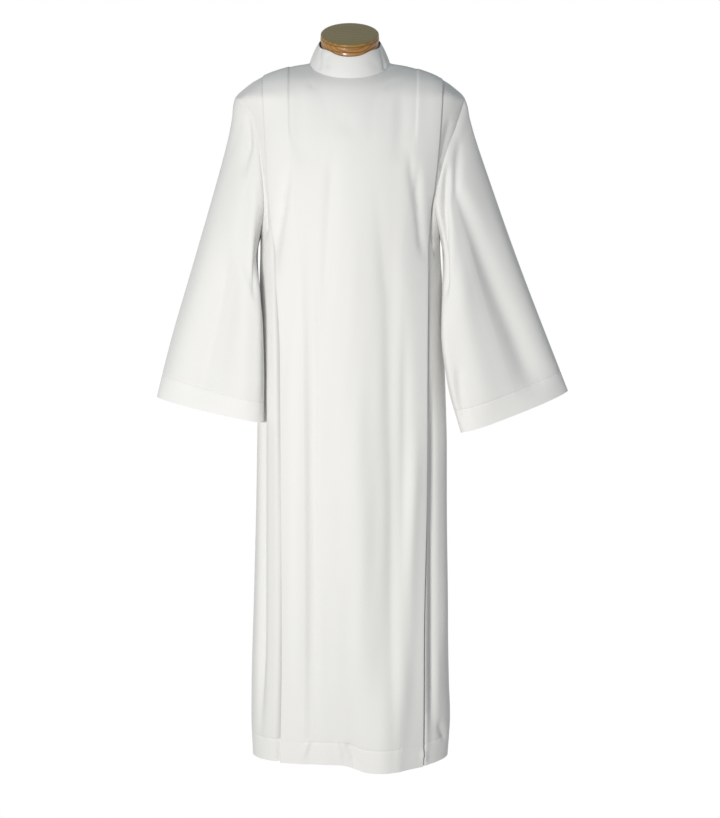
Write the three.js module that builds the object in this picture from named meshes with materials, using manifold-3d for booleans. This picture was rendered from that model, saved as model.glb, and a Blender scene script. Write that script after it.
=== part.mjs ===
// A bishop cassock of the plain white alb kind, worn by a limbless dress form with a wooden neck cap.
// Millimetres, +Z up, the front faces -Y. The origin is on the floor, under the middle of the pole.
import * as THREE from 'three';
import Module from 'manifold-3d';

const wasm = await Module();
wasm.setup();

// Cloth
const CLOTH = 1.2;
const COLLAR_CLOTH = 2.0;
const SEAM_GAP = 0.3;
const ARMHOLE_GAP = 0.6;
const NECK_GAP = 0.55;
const SEAM_EDGE = 0.8;
const HEM_EXTRA = 1.2;
const HEM_DEPTH = 50;
const CUFF_HEM_DEPTH = 70;
// The turned hem ends in a step this high
const HEM_STEP = 2;

// Pleats: three layers of cloth, one turn of this radius between two layers
const TURN_RADIUS = 0.9;
const LAYER = 2 * TURN_RADIUS;
const TURN_STEPS = 3;

// Neck seam and top edge of the collar: half widths, half depths, height at the sides and rise per mm
const NECK_SEAM = { half_width: 81.5, front: 80, back: 70, height: 1503.5, rise: 0.427 };
const COLLAR_TOP = { half_width: 65, front: 69, back: 61, height: 1542, rise: 0.41 };
const COLLAR_BULGE = 2.5;
const COLLAR_LAP = 14;
const COLLAR_END = 0.12;
const LAP_START = 162;
const LAP_FULL = 178;
const LAP_LIFT = 2.5;
const BUTTON_TURN = 187;
const BUTTON_RADIUS = 5.5;
const BUTTON_SHANK = 0.5;
const NECK_STEPS = 5;

// Wooden cap on the neck, an oval disc that leans forward
const CAP = { half_width: 60.5, half_depth: 66, height: 30, lean: 21 };
const NECK_TOP = { y: -3, z: 1532 };

// Stand: the base sits towards the back, so that the hem hides it from the front
const BASE_RADIUS = 90;
const BASE_HEIGHT = 10;
const BASE_BACK = 36;
// The heights of the cloth, the torso and the cap in the tables count from this much under the floor
const UNDER_FLOOR = 15;
const POLE_RADIUS = 16;
const TORSO_BOTTOM = 740;
const SEAT_GAP = 0.3;

// Body sections: half widths to each side, depths to the front and the back, all to the inmost layer.
// Above the shoulder tips, at 1433, the half width is where the shoulder seam closes.
const BODY = [
  { z: 20, left: 211, right: 211, front: 108, back: 128 },
  { z: 110, left: 214, right: 216, front: 116, back: 127 },
  { z: 190, left: 213, right: 213, front: 119, back: 126 },
  { z: 366, left: 207, right: 209, front: 121, back: 123 },
  { z: 585, left: 200, right: 204, front: 122, back: 119 },
  { z: 750, left: 196, right: 203, front: 123, back: 115 },
  { z: 900, left: 193, right: 199, front: 124, back: 112 },
  { z: 1040, left: 190, right: 194, front: 127, back: 110 },
  { z: 1142, left: 187, right: 188, front: 130, back: 110 },
  { z: 1165, left: 190, right: 191, front: 131, back: 110 },
  { z: 1220, left: 197, right: 198, front: 131, back: 109 },
  { z: 1275, left: 205, right: 209, front: 129, back: 107 },
  { z: 1345, left: 211, right: 222, front: 123, back: 103 },
  { z: 1385, left: 216, right: 230, front: 115, back: 97 },
  { z: 1417, left: 225, right: 235, front: 107, back: 90 },
  { z: 1433, left: 237, right: 237, front: 101, back: 85 },
  { z: 1442, left: 229, right: 229, front: 98, back: 82 },
  { z: 1451, left: 218, right: 218, front: 93, back: 79 },
  { z: 1461, left: 205, right: 205, front: 87, back: 76 },
  { z: 1470, left: 190, right: 190, front: 80, back: 73 },
  { z: 1480, left: 170, right: 170, front: 60, back: 69 },
  { z: 1489, left: 145, right: 145, front: 41, back: 65 },
  { z: 1497, left: 115, right: 115, front: 26, back: 62 },
  { z: 1503.5, left: 81.5, right: 81.5, front: 12, back: 61 },
  { z: 1515, left: 81.5, right: 81.5, front: 12, back: 65 },
  { z: 1536, left: 81.5, right: 81.5, front: 12, back: 71 },
];
const SHOULDER_TIP = { x: 237, z: 1433 };

// Pleats: distance from the middle of the fold that shows and of the inner line that is stitched down
const PLEATS = [
  { z: 20, fold_left: 147, inner_left: 99, fold_right: 152, inner_right: 104 },
  { z: 300, fold_left: 142, inner_left: 94, fold_right: 156, inner_right: 107 },
  { z: 600, fold_left: 141, inner_left: 93, fold_right: 161, inner_right: 112 },
  { z: 900, fold_left: 143, inner_left: 95, fold_right: 160, inner_right: 111 },
  { z: 1115, fold_left: 152, inner_left: 104, fold_right: 158, inner_right: 110 },
  { z: 1200, fold_left: 160, inner_left: 112, fold_right: 166, inner_right: 120 },
  { z: 1310, fold_left: 168, inner_left: 121, fold_right: 178, inner_right: 134 },
  { z: 1480, fold_left: 177, inner_left: 127, fold_right: 190, inner_right: 142 },
];
const SHOULDER_PLEAT = { left: { fold: 177, inner: 127 }, right: { fold: 190, inner: 142 } };

// Armhole seams: distance from the middle over the height, from the shoulder tip to the underarm
const ARMHOLES = {
  left_front: [
    { z: 1433, x: 237 },
    { z: 1417, x: 212 },
    { z: 1385, x: 196 },
    { z: 1345, x: 188 },
    { z: 1285, x: 181 },
    { z: 1220, x: 176 },
    { z: 1165, x: 183 },
    { z: 1142, x: 187 },
  ],
  right_front: [
    { z: 1433, x: 237 },
    { z: 1405, x: 229 },
    { z: 1367, x: 216 },
    { z: 1324, x: 199 },
    { z: 1270, x: 185 },
    { z: 1216, x: 175 },
    { z: 1165, x: 183 },
    { z: 1142, x: 188 },
  ],
  left_back: [
    { z: 1433, x: 237 },
    { z: 1414, x: 217 },
    { z: 1380, x: 201 },
    { z: 1330, x: 190 },
    { z: 1270, x: 183 },
    { z: 1212, x: 178 },
    { z: 1165, x: 183 },
    { z: 1142, x: 187 },
  ],
  right_back: [
    { z: 1433, x: 237 },
    { z: 1408, x: 225 },
    { z: 1372, x: 209 },
    { z: 1324, x: 194 },
    { z: 1270, x: 184 },
    { z: 1214, x: 178 },
    { z: 1165, x: 183 },
    { z: 1142, x: 188 },
  ],
};
// The places along an armhole, tip to underarm, where the wall has a corner; closer where the seam turns fast
const ARMHOLE_PLACES = [0, 0.05, 0.1, 0.17, 0.286, 0.43, 0.57, 0.71, 0.86, 1];
const ARMHOLE_STEPS = ARMHOLE_PLACES.length - 1;
// A step longer than this share of the armhole gets one more corner on the sleeve
const LONG_STEP = 0.13;
// Below the armhole its columns spread over this run, to these shares of the way from the side to the fold
const SPREAD = 22;
const TIP_SHARE = 0.62;
const SHARE_GROWTH = 0.6;
const BESIDE_PLEAT = 0.82;
// The armhole is deepest at this height, and the cloth under it has settled to the side at the lower one
const DEEPEST = 1240;
const SETTLED = 950;
// The even rows of the skirt end at the chest, or this far under the top of a column where that is lower
const CHEST = 1200;
const CHEST_UNDER_TOP = 250;
// Folds fade out over this angle from the side seam
const CALM_SIDE = 14;

// Sleeve sections by the share of the length: outer line, inner line, half depths and how the oval is turned
const SLEEVE_COLUMNS = [
  'along', 'outer_x', 'outer_y', 'outer_z', 'inner_x', 'inner_y', 'inner_z', 'front', 'back', 'lean',
];
const sleeve_rows = (rows) =>
    rows.map((row) => Object.fromEntries(SLEEVE_COLUMNS.map((name, k) => [name, row[k]])));
const SLEEVES = {
  left: sleeve_rows([
    [0, 237, 0, 1433, 187, 0, 1142, 63, 56, 0],
    [0.12, 250, 1, 1362, 196, -18, 1100, 62, 56, 0],
    [0.28, 278, 3, 1258, 192, -50, 1040, 50, 54, 0],
    [0.5, 325, 4, 1100, 187, -62, 958, 42, 48, 0.1],
    [0.75, 378, 2, 924, 185, -66, 860, 38, 42, 0.2],
    [1, 408, -4, 809, 187, -64, 764, 36, 38, 0.25],
  ]),
  right: sleeve_rows([
    [0, 237, 0, 1433, 188, 0, 1142, 63, 56, 0],
    [0.12, 256, 1, 1362, 197, -18, 1100, 62, 56, 0],
    [0.28, 292, 3, 1258, 192, -52, 1040, 50, 54, 0],
    [0.5, 350, 4, 1100, 190, -66, 954, 42, 48, 0.1],
    [0.75, 419, 2, 924, 204, -68, 846, 38, 42, 0.2],
    [1, 460, -4, 822, 233, -64, 742, 36, 38, 0.25],
  ]),
};
const SLEEVE_LENGTH = 640;
const SLEEVE_STATIONS = [0.79, 0.68, 0.57, 0.46, 0.35, 0.25, 0.16, 0.08, 0];
const ARMHOLE_FADE = 0.34;
const CUFF_BACK_DIP = 14;

// Folds that stand out of or sink into a panel: where they run, their half width and their height
const FOLDS = {
  front: [
    { name: 'left_ridge', top_x: -112, bottom_x: -118, top: 1050, bottom: 60, width: 24, height: 7 },
    { name: 'left_valley', top_x: -74, bottom_x: -78, top: 1290, bottom: 20, width: 17, height: -6 },
    { name: 'middle_ridge', top_x: 5, bottom_x: 8, top: 1250, bottom: 330, width: 42, height: 5 },
    { name: 'right_valley', top_x: 50, bottom_x: 66, top: 1330, bottom: 120, width: 20, height: -8 },
    { name: 'right_ridge', top_x: 102, bottom_x: 108, top: 1060, bottom: 40, width: 22, height: 8 },
    { name: 'hem_fold', top_x: 68, bottom_x: 72, top: 330, bottom: -160, width: 52, height: 24 },
  ],
  back: [
    { name: 'left_valley', top_x: -64, bottom_x: -72, top: 1240, bottom: 20, width: 20, height: -7 },
    { name: 'left_ridge', top_x: -104, bottom_x: -112, top: 1060, bottom: 20, width: 24, height: 8 },
    { name: 'right_valley', top_x: 58, bottom_x: 70, top: 1260, bottom: 20, width: 20, height: -6 },
    { name: 'right_ridge', top_x: 104, bottom_x: 110, top: 1080, bottom: 20, width: 22, height: 7 },
  ],
};
const SLEEVE_FOLDS = {
  left: [
    { name: 'front_valley', turn: 84, from: 0.32, to: 1.15, width: 17, height: -9 },
    { name: 'front_ridge', turn: 50, from: 0.3, to: 1.2, width: 20, height: 5 },
    { name: 'back_valley', turn: 262, from: 0.3, to: 1.15, width: 18, height: -9 },
    { name: 'back_ridge', turn: 300, from: 0.3, to: 1.2, width: 20, height: 5 },
  ],
  right: [
    { name: 'front_valley', turn: 72, from: 0.1, to: 1.15, width: 17, height: -10 },
    { name: 'front_ridge', turn: 110, from: 0.2, to: 1.2, width: 18, height: 6 },
    { name: 'back_valley', turn: 266, from: 0.28, to: 1.15, width: 18, height: -9 },
    { name: 'back_ridge', turn: 302, from: 0.3, to: 1.2, width: 20, height: 5 },
  ],
};

// Hem height over the distance from the middle of the front, and the level hem of the back
const HEM = [
  { x: -216, z: 27 },
  { x: -145, z: 31 },
  { x: -20, z: 34 },
  { x: 40, z: 21 },
  { x: 152, z: 21 },
  { x: 216, z: 25 },
];
const BACK_HEM = 26;

// Torso sections below the arms, sections above them by their distance inside the cloth, and the neck
const TORSO = [
  { z: TORSO_BOTTOM, half_width: 158, front: 96, back: 98 },
  { z: 790, half_width: 166, front: 102, back: 102 },
  { z: 900, half_width: 164, front: 104, back: 98 },
  { z: 1040, half_width: 146, front: 96, back: 84 },
  { z: 1160, half_width: 160, front: 112, back: 92 },
  { z: 1250, half_width: 168, front: 118, back: 96 },
];
const SHOULDERS = [
  { z: 1320, front: 7, back: 7 },
  { z: 1370, front: 8, back: 8 },
  { z: 1405, front: 9, back: 9 },
  { z: 1430, front: 10, back: 10 },
  { z: 1448, front: 13, back: 12 },
  { z: 1460, front: 17, back: 13 },
  { z: 1469, front: 24, back: 14 },
  { z: 1478, front: 30, back: 16 },
  { z: 1486, front: 34, back: 18 },
  { z: 1493, front: 34, back: 20 },
  { z: 1498, front: 30, back: 22 },
];
const SHOULDER_DROP = 1.6;
const TORSO_SHOULDER = 192;
const NECK = [
  { z: 1440, half_width: 56, front: 50, back: 50, rise: 0 },
  { z: 1484, half_width: 60, front: 58, back: 55, rise: 0.25 },
  { z: 1506, half_width: 58, front: 59, back: 54, rise: 0.36 },
  { z: 1532.7, half_width: 57.5, front: 61, back: 53, rise: 0.384 },
];
const TORSO_STEPS = 28;

// Small helpers
const side_sign = { left: -1, right: 1 };
const face_sign = { front: -1, back: 1 };
const mix = (a, b, share) => a + (b - a) * share;
const clamp = (value) => Math.min(1, Math.max(0, value));
const ease = (value) => clamp(value) ** 2 * (3 - 2 * clamp(value));
const degrees = (angle) => (angle * Math.PI) / 180;
const vector = (x, y, z) => new THREE.Vector3(x, y, z);

// Reads a column of a table at a place along it, on a smooth curve through the rows that never overshoots
function read(rows, along, column, at) {
  const last = rows.length - 1;
  const rising = rows[last][along] > rows[0][along];
  const place = rising ? at : -at;
  const key = (i) => (rising ? rows[i][along] : -rows[i][along]);
  const value = (i) => rows[i][column];
  if (place <= key(0)) return value(0);
  if (place >= key(last)) return value(last);
  let i = 0;
  while (place > key(i + 1)) i += 1;
  const slope = (k) => (value(k + 1) - value(k)) / (key(k + 1) - key(k));
  const tangent = (k) => {
    if (k === 0) return slope(0);
    if (k === last) return slope(last - 1);
    if (slope(k - 1) * slope(k) <= 0) return 0;
    return (2 * slope(k - 1) * slope(k)) / (slope(k - 1) + slope(k));
  };
  const span = key(i + 1) - key(i);
  const t = (place - key(i)) / span;
  const rise = value(i + 1) - value(i);
  const bend = (1 - t) * (tangent(i) * span - rise) - t * (tangent(i + 1) * span - rise);
  return value(i) + t * rise + t * (1 - t) * bend;
}

// A closed wall from rows of points, each with its place, outward direction and wall depths to both sides
function wall(rows, ringed) {
  const count = rows[0].length;
  const last = rows.length - 1;
  const positions = [];
  const indices = [];
  const wrap = (j) => (ringed ? (j + count) % count : Math.min(count - 1, Math.max(0, j)));
  const outward = (i, j) => {
    const across = rows[i][wrap(j + 1)].at.clone().sub(rows[i][wrap(j - 1)].at);
    const up = rows[Math.min(last, i + 1)][j].at.clone().sub(rows[Math.max(0, i - 1)][j].at);
    const out = across.cross(up);
    if (rows[i][j].flat) out.multiply(rows[i][j].flat);
    return out.normalize();
  };
  rows.forEach((row, i) => row.forEach((point, j) => {
    const out = point.out ?? outward(i, j);
    const outer = point.at.clone().addScaledVector(out, point.outer);
    const inner = point.at.clone().addScaledVector(out, -point.inner);
    positions.push(outer.x, outer.y, outer.z, inner.x, inner.y, inner.z);
  }));
  const outer = (i, j) => 2 * (i * count + wrap(j));
  const inner = (i, j) => outer(i, j) + 1;
  const quad = (a, b, c, d) => indices.push(a, b, c, a, c, d);
  const columns = ringed ? count : count - 1;
  for (let j = 0; j < columns; j += 1) {
    for (let i = 0; i < last; i += 1) {
      quad(outer(i, j), outer(i, j + 1), outer(i + 1, j + 1), outer(i + 1, j));
      indices.push(inner(i, j), inner(i + 1, j + 1), inner(i, j + 1));
      indices.push(inner(i, j), inner(i + 1, j), inner(i + 1, j + 1));
    }
    quad(inner(0, j), inner(0, j + 1), outer(0, j + 1), outer(0, j));
    quad(outer(last, j), outer(last, j + 1), inner(last, j + 1), inner(last, j));
  }
  if (!ringed) {
    for (let i = 0; i < last; i += 1) {
      quad(outer(i, 0), outer(i + 1, 0), inner(i + 1, 0), inner(i, 0));
      quad(inner(i, count - 1), inner(i + 1, count - 1), outer(i + 1, count - 1), outer(i, count - 1));
    }
  }
  const geometry = new THREE.BufferGeometry();
  geometry.setAttribute('position', new THREE.Float32BufferAttribute(positions, 3));
  geometry.setIndex(indices);
  geometry.computeVertexNormals();
  return geometry;
}

// A solid through closed rings of the same number of points, from the bottom up, with flat ends
function loft(rings) {
  const count = rings[0].length;
  const positions = rings.flat().flatMap((point) => [point.x, point.y, point.z]);
  const indices = [];
  const at = (i, j) => i * count + (j % count);
  for (let i = 0; i < rings.length - 1; i += 1) {
    for (let j = 0; j < count; j += 1) {
      indices.push(at(i, j), at(i, j + 1), at(i + 1, j + 1), at(i, j), at(i + 1, j + 1), at(i + 1, j));
    }
  }
  const middle = (ring) => ring.reduce((sum, point) => sum.add(point), vector(0, 0, 0)).divideScalar(count);
  const bottom = middle(rings[0]);
  const top = middle(rings[rings.length - 1]);
  const bottom_at = positions.length / 3;
  positions.push(bottom.x, bottom.y, bottom.z, top.x, top.y, top.z);
  for (let j = 0; j < count; j += 1) {
    indices.push(bottom_at, at(0, j + 1), at(0, j));
    indices.push(bottom_at + 1, at(rings.length - 1, j), at(rings.length - 1, j + 1));
  }
  const geometry = new THREE.BufferGeometry();
  geometry.setAttribute('position', new THREE.Float32BufferAttribute(positions, 3));
  geometry.setIndex(indices);
  geometry.computeVertexNormals();
  return geometry;
}

// Half width and depth of the body at a height, and the outward direction of its surface
function section(side, face, z) {
  const step = 0.5;
  const at = (column, height) => read(BODY, 'z', column, height);
  return {
    width: at(side, z),
    depth: at(face, z),
    widening: (at(side, z + step) - at(side, z - step)) / (2 * step),
    deepening: (at(face, z + step) - at(face, z - step)) / (2 * step),
  };
}

function on_body(side, face, x, z) {
  const { width, depth, widening, deepening } = section(side, face, z);
  const across = Math.min(1, x / width);
  const y = depth * Math.sqrt(1 - across ** 2);
  const out = vector(
    (side_sign[side] * across) / width,
    (face_sign[face] * y) / depth ** 2,
    -(across ** 2 * widening) / width - (y ** 2 * deepening) / depth ** 3,
  );
  return { at: vector(side_sign[side] * x, face_sign[face] * y, z), out: out.normalize() };
}

// The armhole seam of one side and face: 0 at the shoulder tip, 1 at the underarm
function armhole(side, face, share) {
  const rows = ARMHOLES[`${side}_${face}`].map((row, i, all) => ({ ...row, share: i / (all.length - 1) }));
  const point = on_body(side, face, read(rows, 'share', 'x', share), read(rows, 'share', 'z', share));
  if (share === 0 || share === 1) point.at.y = 0;
  return point;
}

// A point of the shoulder seam at a distance from the middle, where the body sections close
function shoulder(side, x) {
  let low = SHOULDER_TIP.z;
  let high = NECK_SEAM.height;
  for (let k = 0; k < 40; k += 1) {
    const z = (low + high) / 2;
    if (read(BODY, 'z', side, z) > x) low = z;
    else high = z;
  }
  const point = on_body(side, 'front', x, low);
  point.at.y = 0;
  point.out.setY(0).normalize();
  return point;
}

// A point of an oval ring round the neck: 0 is the front, 90 the right, 180 the back
function neck_ring(ring, turn) {
  const angle = degrees(turn);
  const depth = Math.cos(angle) > 0 ? ring.front : ring.back;
  const x = ring.half_width * Math.sin(angle);
  const y = -depth * Math.cos(angle);
  const out = vector(Math.sin(angle) / ring.half_width, -Math.cos(angle) / depth, 0).normalize();
  out.z = 0.35;
  return { at: vector(x, y, ring.height + ring.rise * y), out: out.normalize() };
}

// The columns of one half of the front or back, from the side seam to the middle.
// Each has the distance from the middle at a height, its top edge, and how round the top of its run is.
function half_columns(side, face) {
  const columns = [];
  const fold = (z) => read(PLEATS, 'z', `fold_${side}`, z);
  const inner = (z) => read(PLEATS, 'z', `inner_${side}`, z);
  const pleat = SHOULDER_PLEAT[side];
  const width = (z) => read(BODY, 'z', side, z);
  const angle_of = (x, z) => Math.acos(Math.min(1, x / width(z)));
  // The angle of the armhole down to its deepest place, and from there the cloth that settles below it
  const seam_angle = (z) => {
    const at = Math.max(z, DEEPEST);
    const settled = z < DEEPEST ? ease((z - SETTLED) / (DEEPEST - SETTLED)) : 1;
    return settled * angle_of(read(ARMHOLES[`${side}_${face}`], 'z', 'x', at), at);
  };
  const beside_fold = (share, top, round) => {
    const first = angle_of(Math.abs(top.at.x), top.at.z);
    const limit = top.at.z < DEEPEST ? first : Infinity;
    const x = (z) => {
      if (z > SHOULDER_TIP.z) return width(z) * Math.cos(share * angle_of(fold(z), z));
      const grown = share * (1 - Math.exp(-Math.max(0, top.at.z - z) / SPREAD));
      return width(z) * Math.cos(mix(Math.min(limit, seam_angle(z)), angle_of(fold(z), z), grown));
    };
    columns.push({ x, top, round, hem: 1, layer: 0 });
  };
  for (let k = 0; k < ARMHOLE_STEPS; k += 1) {
    const place = ARMHOLE_PLACES[ARMHOLE_STEPS - k];
    const share = TIP_SHARE * (k / ARMHOLE_STEPS) ** SHARE_GROWTH;
    beside_fold(share, armhole(side, face, place), (1 - place) ** 2);
  }
  beside_fold(TIP_SHARE, armhole(side, face, 0), 1);
  beside_fold(BESIDE_PLEAT, shoulder(side, mix(SHOULDER_TIP.x, pleat.fold, 0.5)), 1);
  const strip = (share, layer, slip = 0) => {
    const make = (place) => ({
      x: (z) => mix(fold(z), inner(z), place),
      top: shoulder(side, mix(pleat.fold, pleat.inner, place)),
      round: 1,
    });
    const step = 0.01;
    const beside = slip ? [make(share - step), make(share + step)] : null;
    columns.push({ ...make(share), hem: 0, layer, slip, beside });
  };
  strip(0, 0);
  strip(0.5, 0);
  for (let k = 0; k <= TURN_STEPS; k += 1) {
    const turn = (Math.PI * k) / TURN_STEPS;
    strip(1, (LAYER / 2) * (1 - Math.cos(turn)), -TURN_RADIUS * Math.sin(turn));
  }
  strip(0.5, LAYER);
  for (let k = 0; k <= TURN_STEPS; k += 1) {
    const turn = (Math.PI * k) / TURN_STEPS;
    strip(0, LAYER + (LAYER / 2) * (1 - Math.cos(turn)), TURN_RADIUS * Math.sin(turn));
  }
  strip(0.5, 2 * LAYER);
  strip(1, 2 * LAYER);
  const neck_side = NECK_SEAM.half_width;
  columns.push({
    x: (z) => mix(inner(z), neck_side, 0.5),
    top: shoulder(side, mix(pleat.inner, neck_side, 0.5)),
    round: 1,
    hem: 1,
    layer: LAYER,
  });
  for (let k = 0; k <= NECK_STEPS; k += 1) {
    const turn = 90 * (1 - k / NECK_STEPS);
    const signed = side_sign[side] * (face === 'front' ? turn : 180 - turn);
    const x = () => neck_side * Math.sin(degrees(turn));
    columns.push({ x, top: neck_ring(NECK_SEAM, signed), round: 1 - ease(k / 3), hem: 1, layer: 0 });
  }
  return columns;
}

// How far the folds of a face move the cloth outwards at a distance from the middle and a height
function fold_relief(face, x, z) {
  return FOLDS[face].reduce((sum, fold) => {
    const share = (fold.top - z) / (fold.top - fold.bottom);
    const middle = mix(fold.top_x, fold.bottom_x, clamp(share));
    const fade = ease(share * 2.2) * ease((1 - share) * 6 + 0.4);
    return sum + fold.height * fade * Math.exp(-(((x - middle) / fold.width) ** 2));
  }, 0);
}

// The height and the plain place of a column at a row.
// row.low runs from the hem to the chest, row.high from there to the top edge.
function plain_point(side, face, column, row) {
  const top = column.top.at;
  const chest = Math.min(CHEST, top.z - CHEST_UNDER_TOP);
  const hem_x = side_sign[side] * column.x(BODY[0].z);
  const bottom = face === 'front' ? read(HEM, 'x', 'z', hem_x) : BACK_HEM;
  let z = bottom + (row.above ?? 0);
  let left_over = 0;
  if (row.low !== undefined) z = mix(bottom + HEM_DEPTH, chest, row.low);
  if (row.high !== undefined) {
    const level = mix(1 - row.high, 1 - Math.sin((Math.PI / 2) * row.high), column.round);
    z = top.z - (top.z - chest) * level;
    left_over = row.high ** 3;
  }
  const point = on_body(side, face, column.x(z), z);
  const end = on_body(side, face, column.x(top.z), top.z);
  point.at.addScaledVector(top.clone().sub(end.at), left_over);
  if (row.high === 1) point.out = column.top.out;
  return point;
}

// One point of a column with its layer, its turn and the folds of the panel
function body_point(side, face, column, row) {
  const { at, out } = plain_point(side, face, column, row);
  const angle = Math.acos(Math.min(1, Math.abs(at.x) / read(BODY, 'z', side, at.z)));
  const calm = ease(angle / degrees(CALM_SIDE)) * (1 - (row.high ?? 0) ** 2);
  const relief = calm * fold_relief(face, at.x, at.z);
  if (column.beside) {
    const [outer, inner] = column.beside.map((near) => plain_point(side, face, near, row).at);
    at.addScaledVector(outer.sub(inner).normalize(), column.slip);
  }
  at.addScaledVector(out, column.layer + relief);
  at.y += (face_sign[face] * SEAM_GAP) / 2;
  if (face === 'back') at.x += side_sign[side] * (SEAM_GAP / 2) * (1 - Math.abs(at.x) / SHOULDER_TIP.x);
  return at;
}

const BODY_ROWS = [
  { above: 0 },
  { above: HEM_DEPTH - HEM_STEP },
  { low: 0 },
  { low: 0.11 },
  { low: 0.24 },
  { low: 0.38 },
  { low: 0.53 },
  { low: 0.68 },
  { low: 0.84 },
  { high: 0 },
  { high: 0.22 },
  { high: 0.42 },
  { high: 0.6 },
  { high: 0.76 },
  { high: 0.89 },
  { high: 1 },
];

// Rows of wall points for a list of columns; ends holds the plane that each outer seam lies in
function body_rows(face, columns, ends) {
  return BODY_ROWS.map((row, i) => columns.map(({ side, column }, j) => {
    const point = { at: body_point(side, face, column, row), outer: CLOTH / 2, inner: CLOTH / 2 };
    if (i < 2) point.inner += HEM_EXTRA * column.hem;
    const on_top = i === BODY_ROWS.length - 1;
    const on_shoulder = on_top && Math.abs(column.top.at.y) < 0.01;
    if (on_shoulder) point.flat = vector(1, 0, 1);
    if (j === 0 && ends[0]) point.flat = ends[0];
    if (j === columns.length - 1 && ends[1]) point.flat = ends[1];
    if (on_top && column.edge) {
      point.out = column.top.out;
      point.outer = SEAM_EDGE / 2;
      point.inner = SEAM_EDGE / 2;
    }
    return point;
  }));
}

// Where the top edge is sewn to a sleeve or to the collar, the wall ends along the seam's own direction
function half_panel(side, face) {
  const columns = half_columns(side, face);
  const neck = columns.length - 1 - NECK_STEPS;
  const corners = armhole_corners(side, face).reverse();
  columns.forEach((column, k) => {
    column.edge = k <= ARMHOLE_STEPS || k >= neck;
    if (k <= ARMHOLE_STEPS) column.top.out = corners[k].out;
  });
  return columns.map((column) => ({ side, column }));
}

const side_plane = vector(1, 0, 1);
const middle_plane = vector(0, 1, 1);

function front_geometry() {
  const left = half_panel('left', 'front');
  const right = half_panel('right', 'front');
  const columns = [...left, ...right.reverse().slice(1)];
  return wall(body_rows('front', columns, [side_plane, side_plane]), false);
}

function back_geometry(side) {
  const half = half_panel(side, 'back');
  const columns = side === 'right' ? half : half.reverse();
  const ends = side === 'right' ? [side_plane, middle_plane] : [middle_plane, side_plane];
  return wall(body_rows('back', columns, ends), false);
}

function sleeve_ellipse(side, along, turn) {
  const at = (column) => read(SLEEVES[side], 'along', column, along);
  const sign = side_sign[side];
  const outer = vector(sign * at('outer_x'), at('outer_y'), at('outer_z'));
  const inner = vector(sign * at('inner_x'), at('inner_y'), at('inner_z'));
  const middle = outer.clone().add(inner).multiplyScalar(0.5);
  const reach = outer.clone().sub(inner).multiplyScalar(0.5);
  const cross = vector(sign * at('lean'), -1, 0).normalize();
  const share = Math.sin(degrees(turn));
  const depth = share > 0 ? at('front') : at('back');
  const point = middle.addScaledVector(reach, Math.cos(degrees(turn))).addScaledVector(cross, depth * share);
  if (share < 0) point.z += CUFF_BACK_DIP * share * along ** 3;
  return point;
}

// The middle of the sleeve's wall: turn 0 is the outer line, 90 the front, 180 the inner line, 270 the back
function sleeve_point(side, along, turn) {
  const face = turn <= 180 ? 'front' : 'back';
  const share = turn <= 180 ? turn / 180 : (360 - turn) / 180;
  const at = sleeve_ellipse(side, along, turn);
  const left_over = 1 - ease(along / ARMHOLE_FADE);
  const start = armhole(side, face, share).at.sub(sleeve_ellipse(side, 0, turn));
  return at.addScaledVector(start, left_over);
}

// The corners of an armhole seam with the direction of its edge faces. Over the shoulder that lies halfway
// between the outsides of the body and of the sleeve; under the arm, where the sleeve hangs back along the
// body, each edge keeps the outside of its own cloth and the sleeve lies on the body
const NEAR_SLEEVE = 0.08;
const SEAM_OVER = SEAM_EDGE + ARMHOLE_GAP;

function armhole_corners(side, face) {
  const places = ARMHOLE_PLACES.map((place) => {
    const turn = face === 'front' ? 180 * place : 360 - 180 * place;
    return { ...armhole(side, face, place), place, turn };
  });
  return places.map((here, k) => {
    const before = places[Math.max(0, k - 1)].at;
    const after = places[Math.min(ARMHOLE_STEPS, k + 1)].at;
    const along = after.clone().sub(before);
    const near = sleeve_point(side, NEAR_SLEEVE, here.turn);
    const opposite = sleeve_point(side, NEAR_SLEEVE, 180);
    const middle = sleeve_point(side, NEAR_SLEEVE, 0).add(opposite).multiplyScalar(0.5);
    const sleeve_out = along.clone().cross(near.clone().sub(here.at)).normalize();
    if (sleeve_out.dot(near.clone().sub(middle)) < 0) sleeve_out.negate();
    const body_out = here.out.clone();
    const facing = ease(0.5 - body_out.dot(sleeve_out));
    const halfway = body_out.clone().add(sleeve_out).normalize();
    const out = halfway.clone().lerp(body_out, facing);
    const cuff_side = halfway.clone().lerp(sleeve_out, facing);
    if (here.place === 0 || here.place === 1) [out, cuff_side].forEach((direction) => direction.setY(0));
    const lift = body_out.clone().multiplyScalar(SEAM_OVER * facing);
    const directions = { out: out.normalize(), sleeve_out: cuff_side.normalize() };
    return { at: here.at, turn: here.turn, ...directions, lift, facing };
  });
}

// The armhole as the sleeve meets it: a closed ring with one more point in the middle of each long step
function armhole_ring(side) {
  const front = armhole_corners(side, 'front');
  const back = armhole_corners(side, 'back').reverse();
  const corners = [...front, ...back.slice(1)];
  const points = [];
  corners.slice(0, -1).forEach((here, k) => {
    const next = corners[k + 1];
    points.push(here);
    if (next.turn - here.turn < 180 * LONG_STEP) return;
    const at = here.at.clone().lerp(next.at, 0.5);
    const sleeve_out = here.sleeve_out.clone().add(next.sleeve_out).normalize();
    const lift = here.lift.clone().lerp(next.lift, 0.5);
    const facing = (here.facing + next.facing) / 2;
    points.push({ at, sleeve_out, lift, facing, turn: (here.turn + next.turn) / 2 });
  });
  return points;
}

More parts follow.
